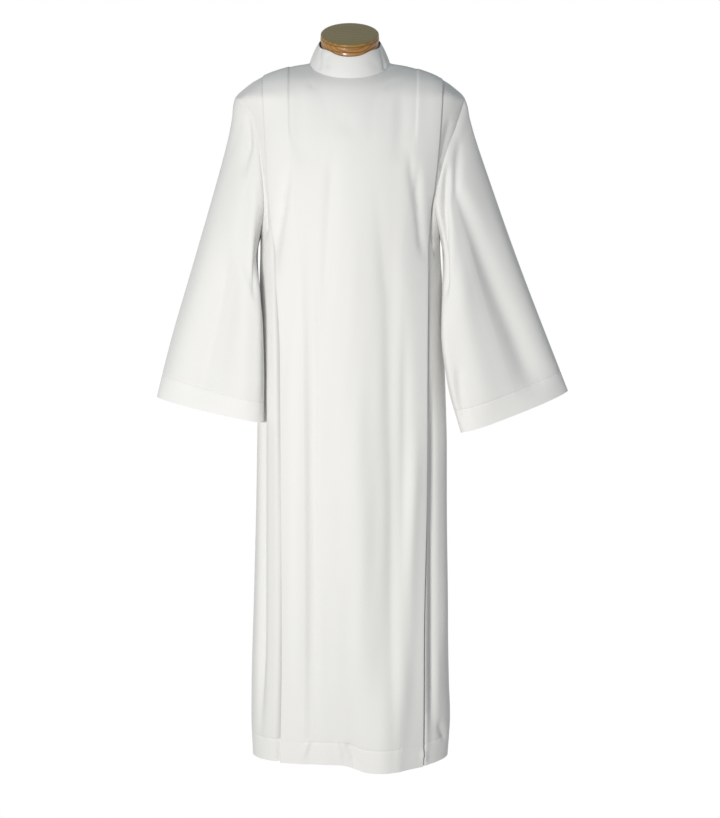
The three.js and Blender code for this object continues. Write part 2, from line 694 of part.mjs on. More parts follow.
function sleeve_geometry(side) {
  const ring = armhole_ring(side);
  const count = ring.length;
  const hem = 1 - CUFF_HEM_DEPTH / SLEEVE_LENGTH;
  const stations = [1, hem + HEM_STEP / SLEEVE_LENGTH, hem, ...SLEEVE_STATIONS];
  const relief = (turn, along) => SLEEVE_FOLDS[side].reduce((sum, fold) => {
    const share = (along - fold.from) / (fold.to - fold.from);
    const fade = ease(share * 2.5) * ease((1 - share) * 6);
    return sum + fold.height * fade * Math.exp(-(((turn - fold.turn) / fold.width) ** 2));
  }, 0);
  const rows = stations.map((along, i) => ring.map((seam, j) => {
    const { turn } = seam;
    const at = sleeve_point(side, along, turn);
    const middle = sleeve_point(side, along, 0).add(sleeve_point(side, along, 180)).multiplyScalar(0.5);
    const away = at.clone().sub(middle).setZ(0).normalize();
    at.addScaledVector(away, relief(turn, along));
    const point = { at, outer: CLOTH / 2, inner: CLOTH / 2 };
    if (i < 2) point.inner += HEM_EXTRA;
    if (along === 0) {
      const before = ring[(j + count - 1) % count].at;
      const after = ring[(j + 1) % count].at;
      const axis = after.clone().sub(before).cross(seam.sleeve_out).normalize();
      const onward = sleeve_point(side, NEAR_SLEEVE, turn).sub(seam.at);
      if (axis.dot(onward) < 0) axis.negate();
      point.at = seam.at.clone().add(seam.lift).addScaledVector(axis, ARMHOLE_GAP * (1 - seam.facing));
      point.out = seam.sleeve_out;
      point.outer = SEAM_EDGE / 2;
      point.inner = SEAM_EDGE / 2;
    }
    return point;
  }));
  if (side === 'right') rows.forEach((row) => row.reverse());
  return wall(rows, true);
}

// The collar runs from the left end at the back, round the front, to the end that laps over it
function collar_point(turn, share) {
  const low = neck_ring(NECK_SEAM, turn);
  const high = neck_ring(COLLAR_TOP, turn);
  const at = low.at.clone().lerp(high.at, share);
  const up = high.at.clone().sub(low.at).normalize();
  at.addScaledVector(up, NECK_GAP * (1 - share));
  at.addScaledVector(low.out, COLLAR_BULGE * 2 * share * (1 - share));
  return { at, out: low.out };
}

function collar_geometry() {
  const step = 90 / NECK_STEPS / 2;
  const shares = [0, 0.3, 0.65, 1];
  const turns = [];
  for (let turn = -180; turn <= 180; turn += step) turns.push(turn);
  turns[0] += COLLAR_END;
  turns.push(180 + COLLAR_LAP / 2, 180 + COLLAR_LAP);
  const lift = (turn) => LAP_LIFT * ease((turn - LAP_START) / (LAP_FULL - LAP_START));
  const rows = shares.map((share) => turns.map((turn, k) => {
    const on_chord = k % 2 === 1 && share === 0 && Math.abs(turn) < 179;
    const point = collar_point(turn, share);
    if (on_chord) {
      const before = collar_point(turn - step, share);
      const after = collar_point(turn + step, share);
      point.at = before.at.lerp(after.at, 0.5);
      point.out = before.out.add(after.out).normalize();
    }
    point.at.addScaledVector(point.out, lift(turn));
    return { ...point, outer: COLLAR_CLOTH / 2, inner: COLLAR_CLOTH / 2 };
  }));
  return wall(rows, false);
}

function button_geometry() {
  const profile = [
    [0, 0],
    [BUTTON_RADIUS - 0.6, 0],
    [BUTTON_RADIUS, 0.6],
    [BUTTON_RADIUS, 1.8],
    [BUTTON_RADIUS - 0.6, 2.4],
    [BUTTON_RADIUS - 1.8, 2.4],
    [BUTTON_RADIUS - 2.4, 1.9],
    [0, 1.9],
  ];
  return new THREE.LatheGeometry(profile.map(([x, y]) => new THREE.Vector2(x, y)), 20);
}

function oval(row) {
  const ring = [];
  for (let j = 0; j < TORSO_STEPS; j += 1) {
    const angle = (2 * Math.PI * j) / TORSO_STEPS;
    const y = (Math.sin(angle) < 0 ? row.front : row.back) * Math.sin(angle);
    ring.push(vector(row.half_width * Math.cos(angle), y, row.z + (row.rise ?? 0) * y));
  }
  return ring;
}

// Joins two closed shapes into one
function join(first, second) {
  const solid = (geometry) => new wasm.Manifold(new wasm.Mesh({
    numProp: 3,
    vertProperties: geometry.attributes.position.array,
    triVerts: Uint32Array.from(geometry.index.array),
  }));
  const joined = solid(first).add(solid(second)).getMesh();
  const geometry = new THREE.BufferGeometry();
  geometry.setAttribute('position', new THREE.BufferAttribute(Float32Array.from(joined.vertProperties), 3));
  geometry.setIndex(Array.from(joined.triVerts));
  geometry.computeVertexNormals();
  return geometry;
}

function torso_geometry() {
  const shoulders = SHOULDERS.map((inset) => {
    const at = (column) => read(BODY, 'z', column, inset.z + SHOULDER_DROP);
    return {
      z: inset.z,
      half_width: Math.min(TORSO_SHOULDER, at('left') - 2, at('right') - 2),
      front: at('front') - inset.front,
      back: at('back') - inset.back,
    };
  });
  return join(loft([...TORSO, ...shoulders].map(oval)), loft(NECK.map(oval)));
}

// Half profile of the turned cap from its underside to the middle of its top
function cap_geometry() {
  const edge = CAP.half_width;
  const profile = [
    [0, 0],
    [edge - 6, 0],
    [edge - 2.5, 1.5],
    [edge - 1, 4.5],
    [edge - 2.2, 7.5],
    [edge - 4, 8.4],
    [edge - 4, 9.8],
    [edge - 1.5, 11],
    [edge, 15],
    [edge, 22],
    [edge - 1.6, 26.5],
    [edge - 5.5, 29.2],
    [edge - 12, CAP.height],
    [0, CAP.height],
  ];
  const geometry = new THREE.LatheGeometry(profile.map(([x, y]) => new THREE.Vector2(x, y)), 40);
  geometry.rotateX(Math.PI / 2);
  geometry.scale(1, CAP.half_depth / CAP.half_width, 1);
  return geometry;
}

function pole_geometry() {
  const height = TORSO_BOTTOM - UNDER_FLOOR - BASE_HEIGHT - 2 * SEAT_GAP;
  const geometry = new THREE.CylinderGeometry(POLE_RADIUS, POLE_RADIUS, height, 24);
  geometry.rotateX(Math.PI / 2);
  geometry.translate(0, 0, BASE_HEIGHT + SEAT_GAP + height / 2);
  return geometry;
}

function base_geometry() {
  const profile = [
    [0, 0],
    [BASE_RADIUS - 1.5, 0],
    [BASE_RADIUS, 1.5],
    [BASE_RADIUS, 4.5],
    [BASE_RADIUS - 3, 7.5],
    [BASE_RADIUS - 20, BASE_HEIGHT],
    [0, BASE_HEIGHT],
  ];
  const geometry = new THREE.LatheGeometry(profile.map(([x, y]) => new THREE.Vector2(x, y)), 48);
  geometry.rotateX(Math.PI / 2);
  return geometry;
}

// Materials
const white_cloth = new THREE.MeshStandardMaterial({ color: 0xe9e8e4, roughness: 0.85, metalness: 0 });
const form_cloth = new THREE.MeshStandardMaterial({ color: 0xcfc8b8, roughness: 0.9, metalness: 0 });
const varnished_wood = new THREE.MeshStandardMaterial({ color: 0x8a6238, roughness: 0.35, metalness: 0 });
const plain_steel = new THREE.MeshStandardMaterial({ color: 0x9a9a98, roughness: 0.4, metalness: 1 });
const white_plastic = new THREE.MeshStandardMaterial({ color: 0xf0efea, roughness: 0.4, metalness: 0 });

const group = new THREE.Group();

function add(name, geometry, material, x, y, z) {
  const mesh = new THREE.Mesh(geometry, material);
  mesh.name = name;
  mesh.position.set(x, y, z);
  group.add(mesh);
  return mesh;
}

add('front', front_geometry(), white_cloth, 0, 0, -UNDER_FLOOR);
add('back_left', back_geometry('left'), white_cloth, 0, 0, -UNDER_FLOOR);
add('back_right', back_geometry('right'), white_cloth, 0, 0, -UNDER_FLOOR);
add('sleeve_left', sleeve_geometry('left'), white_cloth, 0, 0, -UNDER_FLOOR);
add('sleeve_right', sleeve_geometry('right'), white_cloth, 0, 0, -UNDER_FLOOR);
add('collar', collar_geometry(), white_cloth, 0, 0, -UNDER_FLOOR);

const button = add('collar_button', button_geometry(), white_plastic, 0, 0, 0);
const button_seat = collar_point(BUTTON_TURN, 0.55);
const button_lift = COLLAR_CLOTH / 2 + LAP_LIFT + BUTTON_SHANK;
button.position.copy(button_seat.at).addScaledVector(button_seat.out, button_lift);
button.position.z -= UNDER_FLOOR;
button.quaternion.setFromUnitVectors(vector(0, 1, 0), button_seat.out);

add('form_torso', torso_geometry(), form_cloth, 0, 0, -UNDER_FLOOR);
const cap = add('form_neck_cap', cap_geometry(), varnished_wood, 0, NECK_TOP.y, NECK_TOP.z - UNDER_FLOOR);
cap.rotation.x = degrees(CAP.lean);
add('form_pole', pole_geometry(), plain_steel, 0, 0, 0);
add('form_base', base_geometry(), plain_steel, 0, BASE_BACK, 0);

export default group;
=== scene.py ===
# %% [markdown]
# # A white cassock on a dress form
# This lesson dresses a imported CAD part. The CAD model gives every piece its place and size, so it is loaded
# first. Whatever is made here has to stay inside it, give or take a cloth's thickness.

import math

import bmesh
import bpy
import numpy as np
from mathutils import Matrix, Vector


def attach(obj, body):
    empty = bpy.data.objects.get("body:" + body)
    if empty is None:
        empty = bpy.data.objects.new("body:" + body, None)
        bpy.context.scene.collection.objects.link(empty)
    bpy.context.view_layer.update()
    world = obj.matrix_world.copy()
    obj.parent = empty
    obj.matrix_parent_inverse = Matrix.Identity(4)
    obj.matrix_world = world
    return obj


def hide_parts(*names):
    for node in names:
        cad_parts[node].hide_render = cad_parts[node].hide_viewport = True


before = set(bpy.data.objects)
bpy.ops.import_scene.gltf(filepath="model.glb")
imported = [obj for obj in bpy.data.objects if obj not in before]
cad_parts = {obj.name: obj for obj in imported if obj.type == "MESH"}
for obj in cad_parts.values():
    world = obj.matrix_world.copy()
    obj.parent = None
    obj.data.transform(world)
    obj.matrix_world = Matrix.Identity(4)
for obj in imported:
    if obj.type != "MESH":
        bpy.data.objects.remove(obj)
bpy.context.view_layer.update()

# %% [markdown]
# ## Numbers of the pattern
# A garment is drafted from a few measures. Lengths are millimetres here, because a cutter thinks in them,
# and are turned into metres when a mesh is made. Heights count from a plane 15 mm under the floor, as the
# drafting tables of the CAD part do.

# %% Measures
UNDER_FLOOR = 15.0
CLOTH = 0.8
COLLAR_CLOTH = 2.0
SEAM_GAP = 0.3
HEM_DEPTH = 50.0
CUFF_HEM = 70.0
HEM_EXTRA = 0.9
TURN_RADIUS = 0.55
LAYER = 2 * TURN_RADIUS
NECK_SEAM = {"half_width": 81.5, "front": 80, "back": 70, "height": 1503.5, "rise": 0.427}
COLLAR_TOP = {"half_width": 63.5, "front": 69, "back": 61, "height": 1542, "rise": 0.41}
SHOULDER_TIP = {"x": 237.0, "z": 1433.0}
SLEEVE_LENGTH = 640.0
CUFF_BACK_DIP = 14.0
ARMHOLE_FADE = 0.34
HEM_EDGE = 1.5
MM = 1000.0

# %% [markdown]
# ## Tables of the garment
# Each table is a row of stations with named columns. The body is an ellipse at each height, the pleats and
# the armholes are distances from the middle, and a sleeve is a slanting ellipse with an outer and an inner
# line. A smooth curve runs through each column.

# %% The body, the pleats and the hem
def table(names, *rows):
    return [dict(zip(names.split(), row)) for row in rows]


BODY = table(
    "z left right front back",
    (20, 211, 211, 108, 128),
    (110, 214, 216, 116, 127),
    (190, 213, 213, 119, 126),
    (366, 207, 209, 121, 123),
    (585, 200, 204, 122, 119),
    (750, 196, 203, 123, 115),
    (900, 193, 199, 124, 112),
    (1040, 190, 194, 127, 110),
    (1142, 187, 188, 130, 110),
    (1165, 190, 191, 131, 110),
    (1220, 197, 198, 131, 109),
    (1275, 205, 209, 129, 107),
    (1345, 211, 222, 122, 103),
    (1385, 216, 230, 113.5, 97),
    (1417, 227, 235, 104, 90),
    (1433, 237, 237, 98, 85),
    (1442, 229, 229, 94, 82),
    (1451, 218, 218, 89, 79),
    (1461, 205, 205, 81.5, 76),
    (1470, 190, 190, 72.5, 73),
    (1480, 170, 170, 58, 68),
    (1489, 145, 145, 41.5, 64),
    (1497, 115, 115, 26, 62),
    (1503.5, 81.5, 81.5, 12, 61),
    (1515, 81.5, 81.5, 12, 65),
    (1536, 81.5, 81.5, 12, 71),
)
PLEATS = table(
    "z fold_left inner_left fold_right inner_right",
    (20, 147, 99, 152, 104),
    (300, 139.5, 94, 153, 105),
    (600, 138.5, 93, 157, 109),
    (900, 140.5, 95, 157, 109),
    (1115, 152, 104, 158, 110),
    (1200, 160, 112, 166, 120),
    (1310, 168, 121, 178, 134),
    (1480, 177, 127, 190, 142),
)
SHOULDER_PLEAT = {"left": (177.0, 127.0), "right": (190.0, 142.0)}
HEM = table("x z", (-216, 27), (-145, 31), (-20, 34), (40, 21), (152, 21), (216, 25))
BACK_HEM = 26.0

# %% The armholes and the sleeves
ARMHOLES = {
    "left_front": [(1433, 237), (1417, 212), (1385, 196), (1345, 188),
                   (1285, 181), (1220, 176), (1165, 183), (1142, 187)],
    "right_front": [(1433, 237), (1405, 229), (1367, 216), (1324, 199),
                    (1270, 185), (1216, 175), (1165, 183), (1142, 188)],
    "left_back": [(1433, 237), (1414, 217), (1380, 201), (1330, 190),
                  (1270, 183), (1212, 178), (1165, 183), (1142, 187)],
    "right_back": [(1433, 237), (1408, 225), (1372, 209), (1324, 194),
                   (1270, 184), (1214, 178), (1165, 183), (1142, 188)],
}
ARMHOLE_PLACES = [0, 0.05, 0.1, 0.17, 0.286, 0.43, 0.57, 0.71, 0.86, 1]
SPREAD = 22.0
TIP_SHARE = 0.62
DEEPEST = 1240.0
SETTLED = 950.0
SLEEVE_COLUMNS = "along outer_x outer_y outer_z inner_x inner_y inner_z front back lean"
SLEEVES = {
    "left": table(
        SLEEVE_COLUMNS,
        (0.0, 237, 0, 1433, 187, 0, 1142, 63, 56, 0),
        (0.12, 250, 1, 1362, 196, -18, 1100, 62, 56, 0),
        (0.28, 278, 3, 1258, 188, -52, 1040, 50, 52, 0),
        (0.5, 325, 4, 1100, 181, -64, 958, 42, 44, 0.1),
        (0.75, 378, 2, 924, 179, -68, 860, 38, 38, 0.2),
        (1.0, 408, -4, 809, 181, -66, 764, 36, 34, 0.25),
    ),
    "right": table(
        SLEEVE_COLUMNS,
        (0.0, 237, 0, 1433, 188, 0, 1142, 63, 56, 0),
        (0.12, 256, 1, 1362, 197, -18, 1100, 62, 56, 0),
        (0.28, 292, 3, 1258, 192, -52, 1040, 50, 54, 0),
        (0.5, 350, 4, 1100, 190, -66, 954, 42, 48, 0.1),
        (0.75, 419, 2, 924, 204, -68, 846, 38, 42, 0.2),
        (1.0, 460, -4, 822, 233, -64, 742, 36, 38, 0.25),
    ),
}


# %% [markdown]
# ## Reading a table
# A draughtsman lays a flexible ruler through the points. The function does the same: a cubic curve that
# never swings past its points, so a hem never dips below the value that was measured.

# %% A smooth curve through a column
def curve(keys, values):
    keys = np.array(keys, float)
    values = np.array(values, float)
    if keys[0] > keys[-1]:
        keys = keys[::-1]
        values = values[::-1]
    slopes = np.diff(values) / np.diff(keys)
    tangents = np.empty_like(values)
    tangents[0] = slopes[0]
    tangents[-1] = slopes[-1]
    product = slopes[:-1] * slopes[1:]
    total = np.where(product > 0, slopes[:-1] + slopes[1:], 1.0)
    tangents[1:-1] = np.where(product > 0, 2 * product / total, 0.0)

    def at(place):
        place = np.clip(np.asarray(place, float), keys[0], keys[-1])
        i = np.clip(np.searchsorted(keys, place) - 1, 0, len(keys) - 2)
        span = keys[i + 1] - keys[i]
        t = (place - keys[i]) / span
        rise = values[i + 1] - values[i]
        bend = (1 - t) * (tangents[i] * span - rise) - t * (tangents[i + 1] * span - rise)
        return values[i] + t * rise + t * (1 - t) * bend

    return at


def columns_of(rows, along):
    keys = [row[along] for row in rows]
    return {name: curve(keys, [row[name] for row in rows]) for name in rows[0] if name != along}


body = columns_of(BODY, "z")
pleats = columns_of(PLEATS, "z")
hem_height = columns_of(HEM, "x")["z"]
sleeve_lines = {side: columns_of(rows, "along") for side, rows in SLEEVES.items()}
armhole_x = {name: curve([z for z, x in rows], [x for z, x in rows]) for name, rows in ARMHOLES.items()}
shares = np.linspace(0, 1, 8)
armhole_curve = {
    name: (curve(shares, [x for z, x in rows]), curve(shares, [z for z, x in rows]))
    for name, rows in ARMHOLES.items()
}
SIGN = {"left": -1.0, "right": 1.0, "front": -1.0, "back": 1.0}
print("tables:", len(BODY), "body stations,", len(ARMHOLES), "armhole seams")


# %% Small helpers for arrays
def ease(value):
    value = np.clip(value, 0, 1)
    return value ** 2 * (3 - 2 * value)


def mix(a, b, share):
    return a + (b - a) * share


def unit(vectors):
    length = np.linalg.norm(vectors, axis=-1, keepdims=True)
    return vectors / np.maximum(length, 1e-9)


FULL_TURN = 6.283
WAVE_RATES = (0.5, 1.6)
WAVE_GAIN = 1.4


def waves(a, b, seed, count=6):
    """A smooth uneven value between about -1 and 1 over two coordinates, the same in every run"""
    rng = np.random.default_rng(seed)
    total = np.zeros(np.broadcast(a, b).shape)
    for _ in range(count):
        fa, fb = rng.uniform(*WAVE_RATES, 2) * rng.choice([-1, 1], 2)
        total = total + np.sin(fa * a + fb * b + rng.uniform(0, FULL_TURN))
    return total / count * WAVE_GAIN


# %% [markdown]
# ## Creases placed one by one
# Real cloth hangs in soft troughs and ridges whose width and depth change on the way. Each crease here is a
# short line of points on the cloth with its width and its height, negative for a trough. Its cross-section
# is a bell that can be steeper on one side, and it fades at both ends.

# %% The form of one crease
FADED_START = 0.02


def crease(line, width, height, skew=0.0, fade_in=0.25, fade_out=0.25):
    return {"line": line, "width": width, "height": height, "skew": skew, "in": fade_in, "out": fade_out}


def crease_height(a, b, row):
    points = np.array(row["line"], float)
    width = np.broadcast_to(np.array(row["width"], float), len(points))
    height = np.broadcast_to(np.array(row["height"], float), len(points))
    best = np.full(a.shape, 1e9)
    value = np.zeros(a.shape)
    lengths = np.linalg.norm(np.diff(points, axis=0), axis=1)
    whole = lengths.sum()
    done = 0.0
    for k, length in enumerate(lengths):
        start, step = points[k], points[k + 1] - points[k]
        t = np.clip(((a - start[0]) * step[0] + (b - start[1]) * step[1]) / length ** 2, 0, 1)
        da = a - start[0] - t * step[0]
        db = b - start[1] - t * step[1]
        away = np.hypot(da, db)
        side = np.sign(da * step[1] - db * step[0])
        place = (done + t * length) / whole
        fade = ease(place / row["in"] + FADED_START) * ease((1 - place) / row["out"] + FADED_START)
        wide = mix(width[k], width[k + 1], t) * (1 + row["skew"] * side)
        here = mix(height[k], height[k + 1], t) * fade * np.exp(-((away / wide) ** 2))
        nearer = away < best
        value = np.where(nearer, here, value)
        best = np.where(nearer, away, best)
        done += length
    return value


def creases_over(a, b, creases):
    total = np.zeros(np.broadcast(a, b).shape)
    for row in creases:
        total = total + crease_height(a, b, row)
    return total


# %% Creases of the front, in millimetres from the middle and from under the floor
FRONT_CREASES = [
    crease([(-112, 1050), (-113, 856), (-115, 391), (-118, 60)], [20, 23, 24, 22], [5, 8, 8, 6]),
    crease([(-70, 1300), (-75, 1021), (-75, 604), (-74, 86), (-78, 24)], [13, 12, 10, 12, 15],
           [-2, -4, -4.5, -3.5, -3], skew=0.3),
    crease([(2, 1250), (4, 800), (8, 330)], 42, 4),
    crease([(52, 1330), (64, 1180), (80, 1021), (88, 600), (90, 119)], [16, 19, 20, 19, 20],
           [-2, -4, -5, -4.5, -4], skew=-0.25),
    crease([(-32, 1345), (-36, 1290), (-47, 1100), (-53, 960)], [10, 12, 13, 12], [-2, -5, -5, -2]),
    crease([(113, 1060), (114, 800), (116, 119)], [11, 11, 12], [-2, -3.5, -3]),
    crease([(138, 800), (128, 600), (115, 391), (106, 75)], [13, 14, 16, 18], [4, 6, 7, 7]),
    crease([(11, 900), (22, 500), (32, 120)], [24, 20, 26], [2, 4, 5]),
    crease([(-120, 1312), (-134, 1215), (-151, 1113), (-150, 1040)], [7, 9, 10, 10], [-3, -6, -5, -2]),
    crease([(137, 1310), (139, 1201), (145, 1142), (154, 1090)], [6, 8, 8, 8], [-3, -5, -5, -3]),
    crease([(120, 1330), (126, 1270), (137, 1200)], [6, 8, 7], [-2, -4, -2]),
    crease([(-96, 1465), (-100, 1380), (-96, 1290)], [12, 15, 16], [-2, -4, -2]),
    crease([(104, 1465), (104, 1380), (98, 1290)], [12, 14, 16], [-2, -4, -2]),
    crease([(-184, 1010), (-183, 745), (-188, 300), (-191, 85), (-184, 40)], [6, 6, 7, 7, 7],
           [-4, -10, -12, -11, -7]),
    crease([(171, 900), (171, 745), (173, 300), (176, 85), (176, 30)], [6, 7, 8, 8, 8],
           [-4, -9, -11, -13, -12]),
    crease([(196, 860), (198, 560), (201, 200)], [9, 10, 11], [3, 4, 4]),
    crease([(187, 118), (199, 84), (206, 62)], 7, -5, fade_in=0.4, fade_out=0.3),
    crease([(-83, 93), (-94, 66), (-106, 34)], 5, 2.6, fade_in=0.2, fade_out=0.5),
    crease([(-30, 93), (-22, 66), (-17, 34)], 5, 2.6, fade_in=0.2, fade_out=0.5),
    crease([(-8, 88), (6, 62), (14, 24)], 7, -4, fade_in=0.2, fade_out=0.5),
    crease([(150, 60), (158, 40), (160, 22)], 5, 4, fade_in=0.3, fade_out=0.5),
    crease([(68, 330), (70, 160), (72, -160)], 50, [4, 16, 26], fade_in=0.5, fade_out=0.1),
    crease([(-205, 1405), (-206, 1370), (-200, 1310)], [8, 9, 9], [-3, -5, -2]),
    crease([(-188, 1300), (-180, 1230), (-168, 1150)], [8, 9, 10], [-3, -5, -3]),
    crease([(208, 1400), (200, 1350), (190, 1290)], [8, 10, 9], [-3, -5, -3]),
    crease([(176, 1240), (171, 1180), (168, 1110)], [7, 9, 9], [-4, -5, -3]),
    crease([(60, 1452), (96, 1462), (118, 1474)], 5, -2.4, fade_in=0.4, fade_out=0.4),
    crease([(-62, 1450), (-92, 1466)], 5, -1.8, fade_in=0.5, fade_out=0.5),
    crease([(-2, 1418), (-4, 1340)], 18, -2.5, fade_in=0.5, fade_out=0.5),
]

# %% Creases of the back, which the photograph does not show and which follow the same habits
BACK_CREASES = [
    crease([(-62, 1250), (-68, 1000), (-72, 500), (-73, 24)], [14, 15, 13, 17],
           [-3, -7, -8, -6], skew=0.25),
    crease([(-104, 1060), (-108, 700), (-112, 24)], [20, 23, 24], [5, 8, 7]),
    crease([(56, 1270), (62, 1000), (68, 500), (71, 24)], [14, 15, 13, 17], [-3, -7, -7, -5], skew=-0.3),
    crease([(104, 1080), (108, 700), (112, 24)], [18, 22, 23], [5, 7, 7]),
    crease([(-24, 1180), (-20, 900), (-16, 300)], [22, 24, 26], [2, 4, 4]),
    crease([(28, 1120), (26, 700), (30, 200)], [20, 24, 24], [2, 4, 5]),
    crease([(-126, 1305), (-138, 1210), (-150, 1110)], [7, 9, 10], [-3, -6, -4]),
    crease([(134, 1305), (142, 1200), (154, 1100)], [7, 8, 9], [-3, -6, -4]),
    crease([(-178, 980), (-176, 600), (-182, 60)], [9, 9, 10], [-3, -8, -7]),
    crease([(180, 960), (178, 600), (182, 60)], [8, 9, 10], [-3, -8, -8]),
    crease([(-96, 1460), (-100, 1360), (-98, 1260)], [12, 15, 17], [-2, -4, -2]),
    crease([(104, 1460), (104, 1360), (100, 1260)], [12, 15, 17], [-2, -4, -2]),
    crease([(-196, 1340), (-186, 1250), (-172, 1140)], [8, 9, 10], [-3, -5, -3]),
    crease([(198, 1340), (186, 1250), (172, 1140)], [8, 9, 10], [-3, -5, -3]),
    crease([(-78, 96), (-90, 60), (-98, 30)], 6, 3, fade_in=0.2, fade_out=0.5),
    crease([(70, 96), (84, 62), (88, 30)], 6, -3, fade_in=0.2, fade_out=0.5),
    crease([(-48, 1440), (-20, 1330), (-14, 1240)], [16, 18, 16], [-1, -3, -1]),
    crease([(50, 1440), (24, 1320), (16, 1230)], [16, 18, 16], [-1, -3, -1]),
]

# %% Creases of the sleeves: degrees round the sleeve and millimetres down it
SLEEVE_CREASES = {
    "left": [
        crease([(84, 200), (86, 380), (84, 560), (82, 640)], [14, 12, 13, 15], [-5, -10, -10, -8]),
        crease([(50, 190), (50, 420), (48, 640)], [18, 20, 20], [3, 5, 5]),
        crease([(116, 260), (120, 450), (122, 640)], [14, 16, 16], [2, 5, 5]),
        crease([(30, 8), (58, 50), (66, 110)], [9, 11, 12], [-4, -7, -3], fade_in=0.15),
        crease([(95, 40), (100, 130), (108, 240)], [12, 12, 12], [-2, -5, -3]),
        crease([(140, 60), (134, 160), (128, 260)], [10, 11, 11], [-3, -5, -2]),
        crease([(262, 190), (260, 400), (262, 640)], [15, 15, 16], [-4, -9, -8]),
        crease([(300, 190), (302, 400), (302, 640)], [18, 20, 20], [3, 5, 5]),
        crease([(225, 250), (228, 450), (226, 640)], [14, 15, 16], [2, 4, 5]),
        crease([(318, 20), (300, 80), (290, 160)], [9, 11, 12], [-3, -6, -3], fade_in=0.2),
        crease([(245, 60), (250, 160), (255, 250)], 12, [-2, -4, -2]),
        crease([(166, 90), (170, 150), (172, 240)], 9, [-2, -3, -2]),
        crease([(150, 60), (151, 200), (151, 640)], [16, 17, 17], [3, 5, 5]),
    ],
    "right": [
        crease([(44, 18), (84, 90), (78, 210), (68, 420), (66, 640)], [9, 11, 13, 13, 14],
               [-4, -8, -10, -11, -9], fade_in=0.12),
        crease([(80, 8), (112, 70), (134, 160), (146, 250)], [9, 11, 12, 11],
               [-5, -10, -9, -3], fade_in=0.12),
        crease([(98, 150), (104, 300), (106, 640)], [13, 16, 18], [4, 6, 6]),
        crease([(38, 160), (36, 400), (34, 640)], [15, 18, 19], [3, 5, 5]),
        crease([(132, 420), (146, 540), (156, 636)], [8, 10, 11], [-3, -6, -5]),
        crease([(266, 180), (264, 400), (266, 640)], [15, 16, 17], [-4, -9, -8]),
        crease([(302, 190), (304, 400), (304, 640)], [18, 20, 20], [3, 5, 5]),
        crease([(226, 250), (230, 450), (228, 640)], [14, 15, 16], [2, 4, 5]),
        crease([(322, 20), (300, 90), (288, 170)], [9, 11, 12], [-3, -6, -3], fade_in=0.2),
        crease([(240, 70), (248, 170), (254, 260)], 12, [-2, -5, -2]),
        crease([(170, 90), (173, 150), (174, 240)], 9, [-2, -3, -2]),
        crease([(156, 120), (158, 300), (156, 640)], [13, 14, 14], [2, 4, 4]),
    ],
}
MM_PER_DEGREE = 1.7
print("creases:", len(FRONT_CREASES), "front,", len(BACK_CREASES), "back")


# %% [markdown]
# ## The surface of the body
# At each height the cloth is part of an ellipse. Its outward direction comes from the ellipse and from how
# it grows with the height, so the thickness of the cloth can be laid on both sides of it.

# %% Points on the body, on the armhole and on the shoulder seam
def on_body(side, face, x, z):
    step = 0.5
    width, depth = body[side](z), body[face](z)
    widening = (body[side](z + step) - body[side](z - step)) / (2 * step)
    deepening = (body[face](z + step) - body[face](z - step)) / (2 * step)
    across = np.clip(x / width, 0, 1)
    y = depth * np.sqrt(1 - across ** 2)
    out = np.stack([
        SIGN[side] * across / width,
        SIGN[face] * y / depth ** 2,
        -(across ** 2) * widening / width - y ** 2 * deepening / depth ** 3,
    ], axis=-1)
    at = np.stack([SIGN[side] * x + 0 * y, SIGN[face] * y, z + 0 * y], axis=-1)
    return at, unit(out)


def armhole(side, face, share):
    read_x, read_z = armhole_curve[f"{side}_{face}"]
    at, out = on_body(side, face, read_x(share), read_z(share))
    at[..., 1] = np.where((share <= 0) | (share >= 1), 0.0, at[..., 1])
    return at, out


SEAM_HEIGHTS = np.linspace(SHOULDER_TIP["z"], NECK_SEAM["height"], 1200)


def shoulder(side, x):
    z = np.interp(-x, -body[side](SEAM_HEIGHTS), SEAM_HEIGHTS)
    at, out = on_body(side, "front", np.array(float(x)), z)
    at[1] = 0.0
    out[1] = 0.0
    return at, unit(out)


NECK_LEAN = 0.35


def neck_ring(ring, turn):
    angle = np.radians(np.asarray(turn, float))
    depth = np.where(np.cos(angle) > 0, ring["front"], ring["back"])
    x = ring["half_width"] * np.sin(angle)
    y = -depth * np.cos(angle)
    out = np.stack([np.sin(angle) / ring["half_width"], -np.cos(angle) / depth, 0 * angle], axis=-1)
    out = unit(out)
    out[..., 2] = NECK_LEAN
    return np.stack([x, y, ring["height"] + ring["rise"] * y], axis=-1), unit(out)


# %% [markdown]
# ## Columns of a panel
# A tailor cuts the front and each back half in one, from the armhole over the pleat to the neck. The grid
# has one column for each line that runs down the cloth: under the armhole, beside the pleat, through the
# three layers of the pleat, and on to the middle.

# %% The columns of one half
def angle_of(side, x, z):
    return np.arccos(np.clip(x / body[side](z), 0, 1))


def seam_angle(side, face, z):
    at = np.maximum(z, DEEPEST)
    settled = np.where(z < DEEPEST, ease((z - SETTLED) / (DEEPEST - SETTLED)), 1.0)
    return settled * angle_of(side, armhole_x[f"{side}_{face}"](at), at)


def pleat_line(side, share):
    return lambda z: mix(pleats[f"fold_{side}"](z), pleats[f"inner_{side}"](z), share)


def beside_fold(side, face, share, top):
    first = float(angle_of(side, abs(top[0]), top[2]))
    limit = first if top[2] < DEEPEST else math.inf
    fold = pleats[f"fold_{side}"]
    on_shoulder = top[2] > SHOULDER_TIP["z"]

    def x(z):
        grown = share * (1.0 if on_shoulder else 1 - np.exp(-np.maximum(0, top[2] - z) / SPREAD))
        below = mix(np.minimum(limit, seam_angle(side, face, z)), angle_of(side, fold(z), z), grown)
        above = share * angle_of(side, fold(z), z)
        return body[side](z) * np.cos(np.where(z > SHOULDER_TIP["z"], above, below))

    return x


EVEN_BELOW = 1380.0
EVEN_OVER = 120.0
TURN_STEPS = 6


